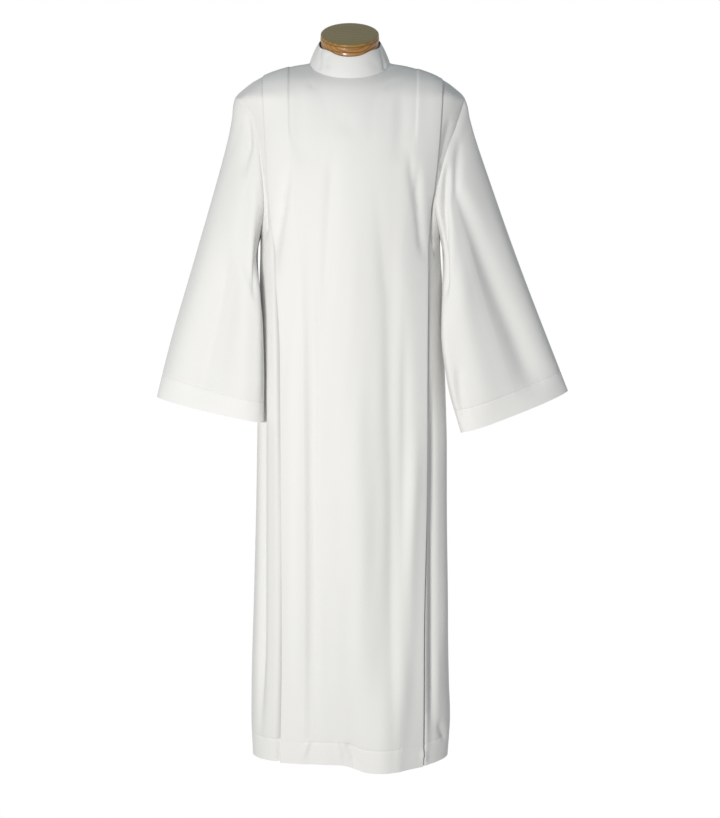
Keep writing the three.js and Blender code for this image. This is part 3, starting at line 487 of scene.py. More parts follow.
def neck_column(turn, z):
    """Even columns on the chest that end evenly round the neck"""
    even = NECK_SEAM["half_width"] * turn / 90
    round_neck = NECK_SEAM["half_width"] * math.sin(math.radians(turn))
    return mix(even, round_neck, ease((z - EVEN_BELOW) / EVEN_OVER))


# %% All the columns of one half, from the armhole to the middle
ARMHOLE_STEPS = np.concatenate([np.linspace(1, 0.2, 24), np.linspace(0.175, 0.0, 9)])
SHOULDER_STEPS = [0.125, 0.25, 0.375, 0.5, 0.625, 0.75, 0.85, 0.92, 0.965, 0.988]
CHEST_STEPS = [0.03, 0.06, 0.09, 0.13, 0.19, 0.27, 0.36, 0.46, 0.57, 0.68, 0.79, 0.9]
NECK_TURNS = np.linspace(90, 0, 27)
ROUND_TURNS = 54.0
NEAR = 0.01


def half_columns(side, face):
    columns = []

    def add(x, top, round_top, hem=1.0, layer=0.0, slip=0.0, near=None, share=0.0, zone="panel"):
        columns.append({"x": x, "top": top, "round": round_top, "hem": hem, "layer": layer, "slip": slip,
                        "near": near, "share": share, "zone": zone})

    index = np.arange(len(ARMHOLE_PLACES))[::-1]
    for place in ARMHOLE_STEPS:
        k = float(np.interp(place, ARMHOLE_PLACES, index))
        share = TIP_SHARE * (k / index[0]) ** 0.6
        top = armhole(side, face, np.array(place))
        add(beside_fold(side, face, share, top[0]), top, (1 - place) ** 2, zone="side")
    fold_x, inner_x = SHOULDER_PLEAT[side]
    for step in SHOULDER_STEPS:
        top = shoulder(side, mix(SHOULDER_TIP["x"], fold_x, step))
        add(beside_fold(side, face, mix(TIP_SHARE, 1, step), top[0]), top, 1.0, zone="side")

    def strip(share, layer, slip=0.0, zone="under"):
        near = None
        if slip:
            near = (pleat_line(side, share - NEAR), pleat_line(side, share + NEAR))
        top = shoulder(side, mix(fold_x, inner_x, share))
        add(pleat_line(side, share), top, 1.0, 0.0, layer, slip, near, share, zone)

    for share in (0, 0.25, 0.5, 0.75):
        strip(share, 0.0)
    for turn in np.linspace(0, math.pi, TURN_STEPS + 1):
        strip(1.0, LAYER / 2 * (1 - math.cos(turn)), -TURN_RADIUS * math.sin(turn))
    for share in (0.75, 0.5, 0.25):
        strip(share, LAYER)
    for turn in np.linspace(0, math.pi, TURN_STEPS + 1):
        strip(0.0, LAYER + LAYER / 2 * (1 - math.cos(turn)), TURN_RADIUS * math.sin(turn), "edge")
    for share in np.linspace(0, 1, 15)[1:]:
        strip(share, 2 * LAYER, zone="strip")
    neck_side = NECK_SEAM["half_width"]
    inner = pleats[f"inner_{side}"]
    for step in CHEST_STEPS:
        x = (lambda step: lambda z: mix(inner(z), neck_side, step))(step)
        add(x, shoulder(side, mix(inner_x, neck_side, step)), 1.0, share=step, zone="beside")
    for turn in NECK_TURNS:
        signed = SIGN[side] * (turn if face == "front" else 180 - turn)
        x = (lambda turn: lambda z: neck_column(turn, z))(turn)
        add(x, neck_ring(NECK_SEAM, signed), 1 - float(ease((90 - turn) / ROUND_TURNS)))
    return columns


# %% Rows of a panel, close together where the hem is turned and stitched
HEM_ROWS = [0, 1.5, 5, 11, 18, 26, 34, 41, 46, 48.5, 49.6]
LOW_ROWS = np.concatenate([[0, 0.0012, 0.003, 0.006, 0.012], np.linspace(0.02, 1, 118)[:-1]])
HIGH_ROWS = np.linspace(0, 1, 38)
LOWEST = 20.0
CHEST = 1200.0
CHEST_UNDER_TOP = 250.0


def row_heights(side, face, column):
    top = column["top"][0]
    chest = min(CHEST, top[2] - CHEST_UNDER_TOP)
    hem_x = SIGN[side] * float(column["x"](np.array(LOWEST)))
    bottom = float(hem_height(hem_x)) if face == "front" else BACK_HEM
    level = mix(1 - HIGH_ROWS, 1 - np.sin(math.pi / 2 * HIGH_ROWS), column["round"])
    z = np.concatenate([
        bottom + np.array(HEM_ROWS),
        mix(bottom + HEM_DEPTH, chest, LOW_ROWS),
        top[2] - (top[2] - chest) * level,
    ])
    high = np.concatenate([np.zeros(len(HEM_ROWS) + len(LOW_ROWS)), HIGH_ROWS])
    return z, high


NECK_HOLD = 9.0


def column_points(side, face, column, x_of, z, high):
    top = column["top"][0]
    at, out = on_body(side, face, x_of(z), z)
    end, _ = on_body(side, face, x_of(np.array(top[2])), np.array(top[2]))
    at = at + (top - end) * (high ** (3 + NECK_HOLD * column["round"]))[:, None]
    out[-1] = column["top"][1]
    return at, out


# %% [markdown]
# The photograph shows a second layer of cloth beside the right pleat, low down. It is a step in the side
# panel with a dark gap after it. The fold edges of both pleats also stand away from the cloth under them a
# little more in some places than in others.

# %% Where the pleats lie open and where they are stitched
FREE_BELOW = {"top": 1180.0, "over": 250.0}
STITCH_END = {"front": 1280, "back": 1260}
SHORT_STEP = 0.09
LONG_STEP = 0.9
STITCHED_OVER = 90.0
THREAD_DIP = {"depth": 0.35, "at": 0.045, "width": 0.03}
GROOVE = {"depth": 1.5, "width": 3.4, "outside": 0.6}
GROOVE_LOW = {
    "left": {"depth": 8.0, "width": 4.5, "outside": 6.5},
    "right": {"depth": 7.0, "width": 3.0, "outside": 1.5},
}
SECOND_LAYER = {"start": 140.0, "edge": 166.0, "top": 800.0, "over": 90.0, "lift": 2.2}
EDGE_LIFT = {"top": 1290.0, "over": 300.0, "least": 0.8, "more": 3.0}
EDGE_SEEDS = {"left_front": 3, "right_front": 5, "left_back": 7, "right_back": 11}


def below_stitching(z):
    return ease((FREE_BELOW["top"] - z) / FREE_BELOW["over"])


def past_fold(side, x, z, outside):
    return np.abs(x) - pleats[f"fold_{side}"](z) - outside


def second_layer(x, z):
    edge = SECOND_LAYER["edge"] + 2.0 * np.sin(z / 160.0)
    below = ease((SECOND_LAYER["top"] - z) / SECOND_LAYER["over"])
    start = ease((x - SECOND_LAYER["start"]) / 8.0)
    return below * SECOND_LAYER["lift"] * ease((edge - x) / 3.0 + 0.5) * start


def edge_lift(side, face, share, z):
    uneven = 0.5 + 0.5 * waves(z / 130.0, z / 311.0, EDGE_SEEDS[f"{side}_{face}"])
    free = ease((EDGE_LIFT["top"] - z) / EDGE_LIFT["over"])
    return (EDGE_LIFT["least"] + EDGE_LIFT["more"] * uneven * free) * np.clip(1 - share, 0, 1) ** 2


def fold_groove(side, x, z):
    """The cloth dips where it passes under the folded edge"""
    low = below_stitching(z)
    depth, width, outside = (mix(GROOVE[key], GROOVE_LOW[side][key], low) for key in GROOVE)
    return -depth * np.exp(-((past_fold(side, x, z, outside) / width) ** 2))


def stitched_step(face, step, z):
    """Two layers of cloth end in a short step while they are stitched, and in a long one below"""
    stitched = ease((z - STITCH_END[face]) / STITCHED_OVER)
    reach = mix(LONG_STEP, SHORT_STEP, stitched)
    thread_dip = THREAD_DIP["depth"] * np.exp(-(((step - THREAD_DIP["at"]) / THREAD_DIP["width"]) ** 2))
    return 2 * LAYER * (1 - ease(step / reach)) - stitched * thread_dip


# %% Relief of a panel: creases, uneven cloth, and what the pleats do to it
PRESSED = 0.6
CALM_ANGLE = math.radians(9)
UNEVEN = [
    {"size": 1.1, "wide": 34.0, "tall": 190.0, "seeds": {"front": 21, "back": 23}},
    {"size": 0.35, "wide": 9.0, "tall": 60.0, "seeds": {"front": 31, "back": 33}},
]
STITCH_LINE = {"depth": 0.9, "width": 1.6, "pucker": 0.36}
HEM_PUCKERS = {"reach": 9.0, "seed": 41}
CUFF_PUCKERS = {"reach": 10.0, "seed": 61}


def panel_relief(side, face, at, column, high):
    x, z = at[:, 0], at[:, 2]
    angle = np.arccos(np.clip(np.abs(x) / body[side](z), 0, 1))
    calm = ease(angle / CALM_ANGLE) * (1 - high ** 4)
    value = creases_over(x, z, FRONT_CREASES if face == "front" else BACK_CREASES)
    for uneven in UNEVEN:
        value = value + uneven["size"] * waves(x / uneven["wide"], z / uneven["tall"], uneven["seeds"][face])
    if face == "front" and side == "right" and column["zone"] == "side":
        value = value + second_layer(x, z)
    value = value * calm
    if column["zone"] in ("strip", "edge"):
        value = value + edge_lift(side, face, column["share"], z) * (1 - high ** 6)
    if column["zone"] in ("side", "under"):
        value = value + fold_groove(side, x, z) * (1 - high ** 20)
    if column["zone"] == "beside":
        value = value + stitched_step(face, column["share"], z)
    return value - PRESSED * column["layer"] * high ** 30


def stitch_relief(across, above, depth, reach, seed):
    """A fine groove where a hem is caught down, with short puckers across it"""
    line = np.exp(-(((above - depth) / STITCH_LINE["width"]) ** 2))
    pucker = np.exp(-(((above - depth) / reach) ** 2)) * waves(across / 3.4, above / 14.0, seed, 5)
    return STITCH_LINE["pucker"] * pucker - STITCH_LINE["depth"] * line


# %% Painted shade beside a fold: a darker line in the cloth's colour just outside each pleat's fold edge, standing in for the shadow and the dark crack under the edge
SHADE_WIDTH = 3.2
SHADE = {"outside": 1.2, "darkness": 0.55}
SHADE_LOW = {"left": {"outside": 5.5, "darkness": 1.25}, "right": {"outside": 1.5, "darkness": 1.25}}


def fold_shade(side, x, z):
    outside, darkness = (mix(SHADE[key], SHADE_LOW[side][key], below_stitching(z)) for key in SHADE)
    return darkness * np.exp(-((past_fold(side, x, z, outside) / SHADE_WIDTH) ** 2))


# %% A whole half panel as arrays
LAYERED = 0.55
EDGE_SLIP = 1.5


def half_panel(side, face):
    points, hints, inner, doubled = [], [], [], []
    for column in half_columns(side, face):
        z, high = row_heights(side, face, column)
        at, out = column_points(side, face, column, column["x"], z, high)
        relief = panel_relief(side, face, at, column, high)
        above = z - z[0]
        relief = relief + column["hem"] * stitch_relief(at[:, 0], above, HEM_DEPTH, **HEM_PUCKERS)
        if column["near"]:
            before, after = (column_points(side, face, column, x, z, high)[0] for x in column["near"])
            slip = column["slip"] * (EDGE_SLIP if column["zone"] == "edge" else 1.0)
            at = at + unit(before - after) * slip
        at = at + out * (column["layer"] + relief)[:, None]
        at[:, 1] += SIGN[face] * SEAM_GAP / 2
        if face == "back":
            at[:, 0] += SIGN[side] * SEAM_GAP / 2 * (1 - np.abs(at[:, 0]) / SHOULDER_TIP["x"])
        in_hem = ease((HEM_DEPTH - above) / HEM_EDGE)
        layered = LAYERED if column["zone"] in ("strip", "edge") else 0.0
        # Painted shade: beside the fold the side panel's colour is darkened; it is stored as negative values
        # of the layer attribute
        painted_fold_shade = fold_shade(side, at[:, 0], z) * (1 - high ** 12) if column["zone"] == "side" else 0.0
        points.append(at)
        hints.append(out)
        inner.append(CLOTH / 2 + HEM_EXTRA * in_hem * column["hem"])
        doubled.append(np.maximum(in_hem, layered) - painted_fold_shade)
    return [np.stack(part, axis=1) for part in (points, hints, inner, doubled)]


def mirror_columns(parts):
    return [part[:, ::-1] for part in parts]


# %% [markdown]
# ## From a grid to a thin wall
# Cloth has two sides. Each grid becomes an outer skin and an inner skin, one cloth apart, with a narrow
# face all round where the cloth is cut or turned. The UV map is measured along the cloth in metres, so that
# a weave keeps its size everywhere.

# %% Directions, faces and the flat map of a wall
LEAST_AGREEMENT = 0.2


def wall_normals(points, hints, ringed):
    if ringed:
        across = np.roll(points, -1, axis=1) - np.roll(points, 1, axis=1)
    else:
        across = np.gradient(points, axis=1)
    up = np.gradient(points, axis=0)
    out = unit(np.cross(across, up))
    if hints is not None:
        agree = np.sum(out * hints, axis=-1, keepdims=True)
        out = np.where(agree < LEAST_AGREEMENT, hints, out)
    return out


def quads(*corners):
    return np.stack(corners, axis=-1).reshape(-1, 4)


def wall_faces(rows, count, ringed):
    steps = count if ringed else count - 1
    half = rows * count
    i, j = np.meshgrid(np.arange(rows - 1), np.arange(steps), indexing="ij")
    following = (j + 1) % count
    a, b = i * count + j, i * count + following
    c, d = b + count, a + count
    first = np.arange(steps)
    second = (first + 1) % count
    lift = (rows - 1) * count
    faces = [
        quads(a, b, c, d),
        quads(a, d, c, b) + half,
        quads(first + half, second + half, second, first),
        quads(first + lift, second + lift, second + lift + half, first + lift + half),
    ]
    if not ringed:
        start = np.arange(rows - 1) * count
        end = start + count - 1
        faces.append(quads(start, start + count, start + count + half, start + half))
        faces.append(quads(end + half, end + count + half, end + count, end))
    return np.concatenate(faces)


def flat_map(points):
    """Distances across and down the cloth in metres, for both skins"""
    across = np.zeros(points.shape[:2])
    across[:, 1:] = np.cumsum(np.linalg.norm(np.diff(points, axis=1), axis=2), axis=1)
    down = np.zeros(points.shape[:2])
    down[1:] = np.cumsum(np.linalg.norm(np.diff(points, axis=0), axis=2), axis=0)
    flat = np.stack([across.mean(axis=0)[None] + 0 * across, down], axis=-1).reshape(-1, 2) / MM
    return np.concatenate([flat, flat])


# %% Build a wall mesh
def in_metres(vertices):
    vertices = np.array(vertices) / MM
    vertices[:, 2] -= UNDER_FLOOR / MM
    return vertices


def place_object(name, data):
    piece = bpy.data.objects.new(name, data)
    bpy.context.collection.objects.link(piece)
    return piece


def smooth(piece, degrees):
    bpy.ops.object.select_all(action="DESELECT")
    piece.select_set(True)
    bpy.context.view_layer.objects.active = piece
    bpy.ops.object.shade_smooth_by_angle(angle=math.radians(degrees))


def wall_object(name, points, out, outer, inner, doubled, ringed=False):
    rows, count = points.shape[:2]
    skin = points + out * np.broadcast_to(outer, (rows, count))[..., None]
    lining = points - out * inner[..., None]
    vertices = in_metres(np.concatenate([skin.reshape(-1, 3), lining.reshape(-1, 3)]))
    mesh = bpy.data.meshes.new(name)
    mesh.from_pydata(vertices.tolist(), [], wall_faces(rows, count, ringed).tolist())
    loops = np.empty(len(mesh.loops), int)
    mesh.loops.foreach_get("vertex_index", loops)
    uv = mesh.uv_layers.new(name="weave")
    uv.data.foreach_set("uv", flat_map(points)[loops].astype(np.float32).ravel())
    # The attribute holds how doubled the cloth is, and as negative values the painted shade beside the pleat
    # folds
    thick = mesh.attributes.new("doubled", "FLOAT", "POINT")
    thick.data.foreach_set("value", np.tile(doubled.reshape(-1), 2).astype(np.float32))
    mesh.validate()
    mesh.update()
    piece = place_object(name, mesh)
    smooth(piece, 50)
    squares = np.cross(skin[1:, :-1] - skin[:-1, :-1], skin[:-1, 1:] - skin[:-1, :-1])
    area = float(np.linalg.norm(squares, axis=-1).sum()) / MM ** 2
    print(name, "vertices", len(vertices), "one side", round(area, 3), "m2")
    return piece


# %% [markdown]
# ## The front
# One piece of cloth from side seam to side seam. Both halves are laid out and joined at the middle.

# %% Make the front
left = half_panel("left", "front")
right = mirror_columns(half_panel("right", "front"))
points, hints, inner, doubled = [np.concatenate([a, b[:, 1:]], axis=1) for a, b in zip(left, right)]
front_out = wall_normals(points, hints, False)
front = wall_object("front_cloth", points, front_out, CLOTH / 2, inner, doubled)
front_grid = points + front_out * CLOTH / 2

# %% [markdown]
# ## The back
# The back is cut in two halves that meet in the middle, because a stand-up collar that closes round the
# neck needs an opening somewhere, and the front shows none.

# %% Make both back halves
backs, back_grids, back_outs = {}, {}, {}
for side in ("left", "right"):
    parts = half_panel(side, "back")
    if side == "left":
        parts = mirror_columns(parts)
    points, hints, inner, doubled = parts
    out = wall_normals(points, hints, False)
    backs[side] = wall_object(f"back_cloth_{side}", points, out, CLOTH / 2, inner, doubled)
    back_grids[side] = points + out * CLOTH / 2
    back_outs[side] = wall_normals(back_grids[side], None, False)


# %% [markdown]
# ## The sleeves
# A sleeve is a tube. At the top it takes the form of the armhole, and over a third of its length it turns
# into the wide slanting ellipse of the cuff.

# %% Points of a sleeve: an ellipse whose half towards the body is fuller, so that its edge is narrow
INNER_EDGE = 0.6


def sleeve_ellipse(side, along, turn):
    read = sleeve_lines[side]
    sign = SIGN[side]
    along, turn = np.broadcast_arrays(along, turn)
    outer, inner = (np.stack([sign * read[f"{edge}_x"](along), read[f"{edge}_y"](along),
                              read[f"{edge}_z"](along)], axis=-1) for edge in ("outer", "inner"))
    middle = (outer + inner) / 2
    reach = (outer - inner) / 2
    lean = sign * read["lean"](along)
    cross = unit(np.stack([lean, -np.ones_like(lean), 0 * lean], axis=-1))
    share = np.sin(np.radians(turn))
    depth = np.where(share > 0, read["front"](along), read["back"](along))
    reached = np.cos(np.radians(turn))
    reached = np.where(reached < 0, -np.abs(reached) ** INNER_EDGE, reached)
    point = middle + reach * reached[..., None] + cross * (depth * share)[..., None]
    point[..., 2] += np.where(share < 0, CUFF_BACK_DIP * share * along ** 3, 0)
    return point, middle


def armhole_ring(side, turn):
    front_at, front_out = armhole(side, "front", np.clip(turn / 180, 0, 1))
    back_at, back_out = armhole(side, "back", np.clip((360 - turn) / 180, 0, 1))
    is_front = (turn <= 180)[..., None]
    return np.where(is_front, front_at, back_at), np.where(is_front, front_out, back_out)


def sleeve_points(side, along, turn):
    at, middle = sleeve_ellipse(side, along, turn)
    start, _ = sleeve_ellipse(side, 0.0 * along, turn)
    seam, _ = armhole_ring(side, np.broadcast_to(turn, at.shape[:-1]))
    left_over = 1 - ease(np.broadcast_to(along, at.shape[:-1]) / ARMHOLE_FADE)
    return at + (seam - start) * left_over[..., None], middle


# %% Rows and columns of a sleeve, close together at the cuff, at its stitches and at the armhole
TURNS = np.concatenate([np.linspace(0, 20, 11)[:-1], np.linspace(20, 340, 129)[:-1],
                        np.linspace(340, 360, 11)[:-1]])
CUFF_LINE = CUFF_HEM / SLEEVE_LENGTH
CUFF_ROWS = [0, 0.003, 0.01, 0.022, 0.04, 0.06, 0.08, 0.095, 0.103, 0.107, 0.1085, CUFF_LINE,
             0.1105, 0.112, 0.117]
MIDDLE_ROWS = np.linspace(0.125, 0.94, 74)
SEAM_ROWS = [0.955, 0.968, 0.98, 0.99, 0.996, 1.0]
TUCK_ROWS = [1.0, 1.0]
STATIONS = 1 - np.concatenate([CUFF_ROWS, MIDDLE_ROWS, SEAM_ROWS, TUCK_ROWS])
TUCKED = np.concatenate([np.zeros(len(STATIONS) - 2), [1.0, 2.0]])

# %% The seam: the edge of the sleeve is lifted over the body or tucked a little way under it
TUCK_DEPTH = 1.1
TUCK_BACK = 1.6
SEAM_REACH = 0.1
NEAR_SEAM = 0.08


def seamed_sleeve(side, along, turn):
    at, _ = sleeve_points(side, along, turn)
    near, middle = sleeve_points(side, 0 * along + NEAR_SEAM, turn)
    seam, body_out = armhole_ring(side, turn)
    path = np.roll(seam, -1, axis=1) - np.roll(seam, 1, axis=1)
    sleeve_out = unit(np.cross(path, near - seam))
    sleeve_out = sleeve_out * np.sign(np.sum(sleeve_out * (near - middle), axis=-1, keepdims=True))
    facing = ease(0.5 - np.sum(body_out * sleeve_out, axis=-1))
    at_seam = 1 - ease(along / SEAM_REACH)
    onward = unit(near - seam)
    at = at + body_out * ((CLOTH + SEAM_GAP) * facing * at_seam)[..., None]
    at = at + onward * (SEAM_GAP * (1 - facing) * at_seam)[..., None]
    inward = body_out * TUCK_DEPTH + onward * TUCK_BACK
    return at - inward * (TUCKED[:, None] * (1 - facing))[..., None], facing


# %% Relief of a sleeve: creases, the stitched cuff, and the ease at its head
SLEEVE_SEEDS = {"left": 51, "right": 57}
HEAD_CALM = 0.05
INNER_CALM = {"share": 0.65, "degrees": 14.0}
HEAD_REACH = 0.07
HEAD_EASE = 2.2


def sleeve_relief(side, along, turn, facing):
    across, down = turn * MM_PER_DEGREE, along * SLEEVE_LENGTH
    rows = [dict(row, line=[(a * MM_PER_DEGREE, b) for a, b in row["line"]],
                 width=np.array(row["width"]) * MM_PER_DEGREE) for row in SLEEVE_CREASES[side]]
    angle = np.radians(turn)
    value = creases_over(across, down, rows)
    value = value + waves(np.sin(angle) * 3 + 2 * np.cos(angle), down / 120.0, SLEEVE_SEEDS[side])
    inner_edge = INNER_CALM["share"] * np.exp(-((turn - 180) / INNER_CALM["degrees"]) ** 2)
    value = value * ease(along / HEAD_CALM) * (1 - inner_edge)
    value = value + stitch_relief(across, (1 - along) * SLEEVE_LENGTH, CUFF_HEM, **CUFF_PUCKERS)
    head = along / HEAD_REACH
    return value + np.exp(-(head ** 2)) * (1 - facing) * np.sin(math.pi * np.clip(head, 0, 1)) * HEAD_EASE


# %% Make the sleeves
def sleeve_arrays(side):
    along = STATIONS[:, None] + 0 * TURNS[None]
    turn = TURNS[None] + 0 * along
    at, facing = seamed_sleeve(side, along, turn)
    value = sleeve_relief(side, along, turn, facing)
    if side == "right":
        at, value = at[:, ::-1], value[:, ::-1]
    at = at + wall_normals(at, None, True) * value[..., None]
    doubled = ease((CUFF_HEM - (1 - along) * SLEEVE_LENGTH) / HEM_EDGE)
    return at, CLOTH / 2 + HEM_EXTRA * doubled, doubled


sleeves, sleeve_grids = {}, {}
for side in ("left", "right"):
    points, inner, doubled = sleeve_arrays(side)
    out = wall_normals(points, None, True)
    sleeves[side] = wall_object(f"sleeve_cloth_{side}", points, out, CLOTH / 2, inner, doubled, True)
    sleeve_grids[side] = points + out * CLOTH / 2

# %% [markdown]
# ## The collar
# A stand-up band of two layers with stiffening between them. It leans in towards the neck, bulges a little
# between its edges, and one end laps over the other at the back.

# %% The collar's lap, edge and creases: degrees round the neck and shares of its height
COLLAR_LAP = 14.0
LAP_START = 162.0
LAP_FULL = 178.0
LAP_LIFT = 2.5
BULGE = 2.5
BAND_HEIGHT = 42
BAND_PER_DEGREE = 1.2
ROUND_EDGE = {"start": 0.97, "length": 0.031, "least": 0.04}
SIDE_RISE = {"height": 5.0, "turn": 45, "degrees": 20.0}
FOOT_RISE = 0.4
COLLAR_CREASES = [
    crease([(-33, 0.25), (-39, 0.55), (-44, 0.9)], 6.0, -1.7, fade_in=0.3, fade_out=0.2),
    crease([(-48, 0.1), (-57, 0.55), (-67, 1.0)], 5.0, -1.9, fade_in=0.2, fade_out=0.1),
    crease([(60, 0.0), (66, 0.5), (72, 1.0)], 6.0, -2.2, fade_in=0.1, fade_out=0.1),
    crease([(76, 0.2), (82, 0.6), (90, 1.0)], 6.0, -2.0, fade_in=0.2, fade_out=0.1),
    crease([(30, 0.75), (44, 0.4), (52, 0.1)], 6.0, -0.7, fade_in=0.4, fade_out=0.4),
    crease([(-118, 0.0), (-114, 1.0)], 4, -1.2, fade_in=0.1, fade_out=0.3),
    crease([(122, 0.0), (119, 1.0)], 4, -1.2, fade_in=0.1, fade_out=0.3),
]


# %% Make the collar
def collar_points(turn, share):
    low, low_out = neck_ring(NECK_SEAM, turn)
    high, _ = neck_ring(COLLAR_TOP, turn)
    up = unit(high - low)
    beside = np.exp(-(((np.abs(turn) - SIDE_RISE["turn"]) / SIDE_RISE["degrees"]) ** 2))
    rise = FOOT_RISE * (1 - share) + SIDE_RISE["height"] * beside * share ** 2
    at = mix(low, high, share[..., None]) + up * rise[..., None]
    bulge = BULGE * 2 * share * (1 - share)
    lap = LAP_LIFT * ease((turn - LAP_START) / (LAP_FULL - LAP_START))
    rows = [dict(row, line=[(a * BAND_PER_DEGREE, b * BAND_HEIGHT) for a, b in row["line"]])
            for row in COLLAR_CREASES]
    folds = creases_over(turn * BAND_PER_DEGREE, share * BAND_HEIGHT, rows)
    uneven = 0.35 * waves(turn / 14.0, share * 2.2, 71)
    return at + low_out * (bulge + lap + folds + uneven)[..., None], low_out


collar_turns = np.linspace(-179.88, 180 + COLLAR_LAP, 200)
shares_up = np.concatenate([[0, 0.012, 0.03, 0.07], np.linspace(0.12, 0.9, 12), [0.94, 0.965, 0.985, 1.0]])
turn_grid = collar_turns[None] + 0 * shares_up[:, None]
share_grid = shares_up[:, None] + 0 * turn_grid
points, collar_hints = collar_points(turn_grid, share_grid)
rounding = (share_grid - ROUND_EDGE["start"]).clip(0) / ROUND_EDGE["length"]
round_edge = COLLAR_CLOTH / 2 * np.sqrt(np.clip(1 - rounding ** 2, ROUND_EDGE["least"], 1))
out = wall_normals(points, collar_hints, False)
collar = wall_object("collar_cloth", points, out, round_edge, round_edge, np.ones(round_edge.shape))

# %% [markdown]
# ## Stitches
# The hem, the cuffs and the pleats are held by rows of stitches. A stitch is a short thread that dips into
# the cloth at both ends. One is modelled as a five-sided bead, and copied along each seam line.

# %% A row of stitches along a line that lies on the cloth
STITCH_STEP = 3.0
STITCH_LONG = 2.1
THREAD = 0.28
SUNK = 0.75
BEAD = [(-0.5, 0.35), (-0.3, 1.0), (0.3, 1.0), (0.5, 0.35)]


def line_on(points, out):
    step = np.linalg.norm(np.diff(points, axis=0), axis=1)
    length = np.concatenate([[0], np.cumsum(step)])
    count = max(2, int(length[-1] / STITCH_STEP))
    at = (np.arange(count) + 0.5) * length[-1] / count

    def read(values, places):
        return np.stack([np.interp(places, length, values[:, k]) for k in range(3)], axis=-1)

    return read(points, at), unit(read(points, at + 0.5) - read(points, at - 0.5)), unit(read(out, at))


def stitch_mesh(name, lines):
    ring = np.radians(np.arange(0, 360, 72))
    count = len(ring)
    vertices, faces = [], []
    for points, out in lines:
        for at, along, up in zip(*line_on(points, out)):
            across = np.cross(along, up)
            base = len(vertices)
            for share, size in BEAD:
                middle = at + along * share * STITCH_LONG + up * (THREAD * (size - SUNK))
                for angle in ring:
                    spoke = across * math.cos(angle) + up * math.sin(angle)
                    vertices.append(middle + spoke * THREAD * size)
            for level in range(len(BEAD) - 1):
                for k in range(count):
                    a = base + level * count + k
                    b = base + level * count + (k + 1) % count
                    faces.append((a, b, b + count, a + count))
            faces.append(tuple(base + k for k in range(count))[::-1])
            faces.append(tuple(base + (len(BEAD) - 1) * count + k for k in range(count)))
    mesh = bpy.data.meshes.new(name)
    mesh.from_pydata(in_metres(vertices).tolist(), [], faces)
    mesh.update()
    bm = bmesh.new()
    bm.from_mesh(mesh)
    bmesh.ops.recalc_face_normals(bm, faces=bm.faces)
    bm.to_mesh(mesh)
    bm.free()
    piece = place_object(name, mesh)
    smooth(piece, 60)
    print(name, "stitches:", len(vertices) // (count * len(BEAD)))
    return piece


# %% Sew the pleats down
STITCHED_ABOVE = {"front": 1306, "back": 1300}


def column_line(grid, out, column, lowest):
    rows = np.nonzero(grid[:, column, 2] > lowest)[0]
    return grid[rows, column], out[rows, column]


front_count = front_grid.shape[1]
zones = [column["zone"] for column in half_columns("left", "front")]
inner_column = max(k for k, zone in enumerate(zones) if zone == "strip")
pleat_lines = []
for column in (inner_column, front_count - 1 - inner_column):
    pleat_lines.append(column_line(front_grid, front_out, column, STITCHED_ABOVE["front"]))
for side, grid in back_grids.items():
    column = inner_column if side == "right" else grid.shape[1] - 1 - inner_column
    pleat_lines.append(column_line(grid, back_outs[side], column, STITCHED_ABOVE["back"]))
pleat_stitches = stitch_mesh("pleat_stitches", pleat_lines)

# %% Stitch the hem, but not where it lies under a fold, and the cuffs
STRIP_SHOWN = 12
HEM_STITCH_ROW = len(HEM_ROWS) + 1
CUFF_STITCH_ROW = CUFF_ROWS.index(CUFF_LINE)
under_column = min(k for k, zone in enumerate(zones) if zone == "under")
shown_column = inner_column - STRIP_SHOWN
hem_lines = []
for name, grid in {"front": front_grid, **back_grids}.items():
    out = front_out if name == "front" else back_outs[name]
    count = grid.shape[1]
    runs = [(0 if name == "left" else shown_column, count - 1 if name == "right" else count - shown_column)]
    if name != "left":
        runs.insert(0, (0, under_column - 1))
    if name != "right":
        runs.append((count - under_column, count - 1))
    for start, stop in runs:
        hem_lines.append((grid[HEM_STITCH_ROW, start:stop + 1], out[HEM_STITCH_ROW, start:stop + 1]))
hem_stitches = stitch_mesh("hem_stitches", hem_lines)

cuff_lines = []
for grid in sleeve_grids.values():
    rings = [part[CUFF_STITCH_ROW] for part in (grid, wall_normals(grid, None, True))]
    cuff_lines.append([np.concatenate([ring, ring[:1]]) for ring in rings])
cuff_stitches = stitch_mesh("cuff_stitches", cuff_lines)

# %% [markdown]
# ## The neck cap
# A turned disc of wood closes the neck of the form. On a lathe it is cut as one profile: an edge at the
# bottom, a groove, and a rounded rim. Here a circle is extruded ring by ring, which is the same idea.

# %% Turn the cap
def deselect():
    if bpy.context.object and bpy.context.object.mode != "OBJECT":
        bpy.ops.object.mode_set(mode="OBJECT")
    bpy.ops.object.select_all(action="DESELECT")


CAP_HALF = (0.0605, 0.066)
CAP_LEAN = 23.5
CAP_SEAT = (0.0, -0.0025, 1.5348 - UNDER_FLOOR / 1000.0)
CAP_PROFILE = [
    (0.0545, 0.0), (0.0562, 0.0005), (0.0577, 0.0017), (0.0588, 0.0036), (0.0593, 0.0060),
    (0.0590, 0.0084), (0.0583, 0.0104), (0.0580, 0.0116), (0.0586, 0.0128), (0.0597, 0.0146),
    (0.0603, 0.0168), (0.0605, 0.0192), (0.0603, 0.0214), (0.0598, 0.0230), (0.0588, 0.0240),
    (0.0577, 0.0244), (0.0576, 0.0249), (0.0588, 0.0253), (0.0597, 0.0262), (0.0600, 0.0274),
    (0.0597, 0.0286), (0.0588, 0.0295), (0.0574, 0.0299), (0.0540, 0.0300), (0.0330, 0.0300),
    (0.0150, 0.0300),
]
INSIDE = (1e-4, 0.0299)
deselect()
radius, height = CAP_PROFILE[0]
bpy.ops.mesh.primitive_circle_add(vertices=96, radius=radius, fill_type="NGON", location=(0, 0, 0))
cap = bpy.context.object
cap.name = "neck_cap"
bpy.ops.object.mode_set(mode="EDIT")
bpy.ops.mesh.select_all(action="SELECT")
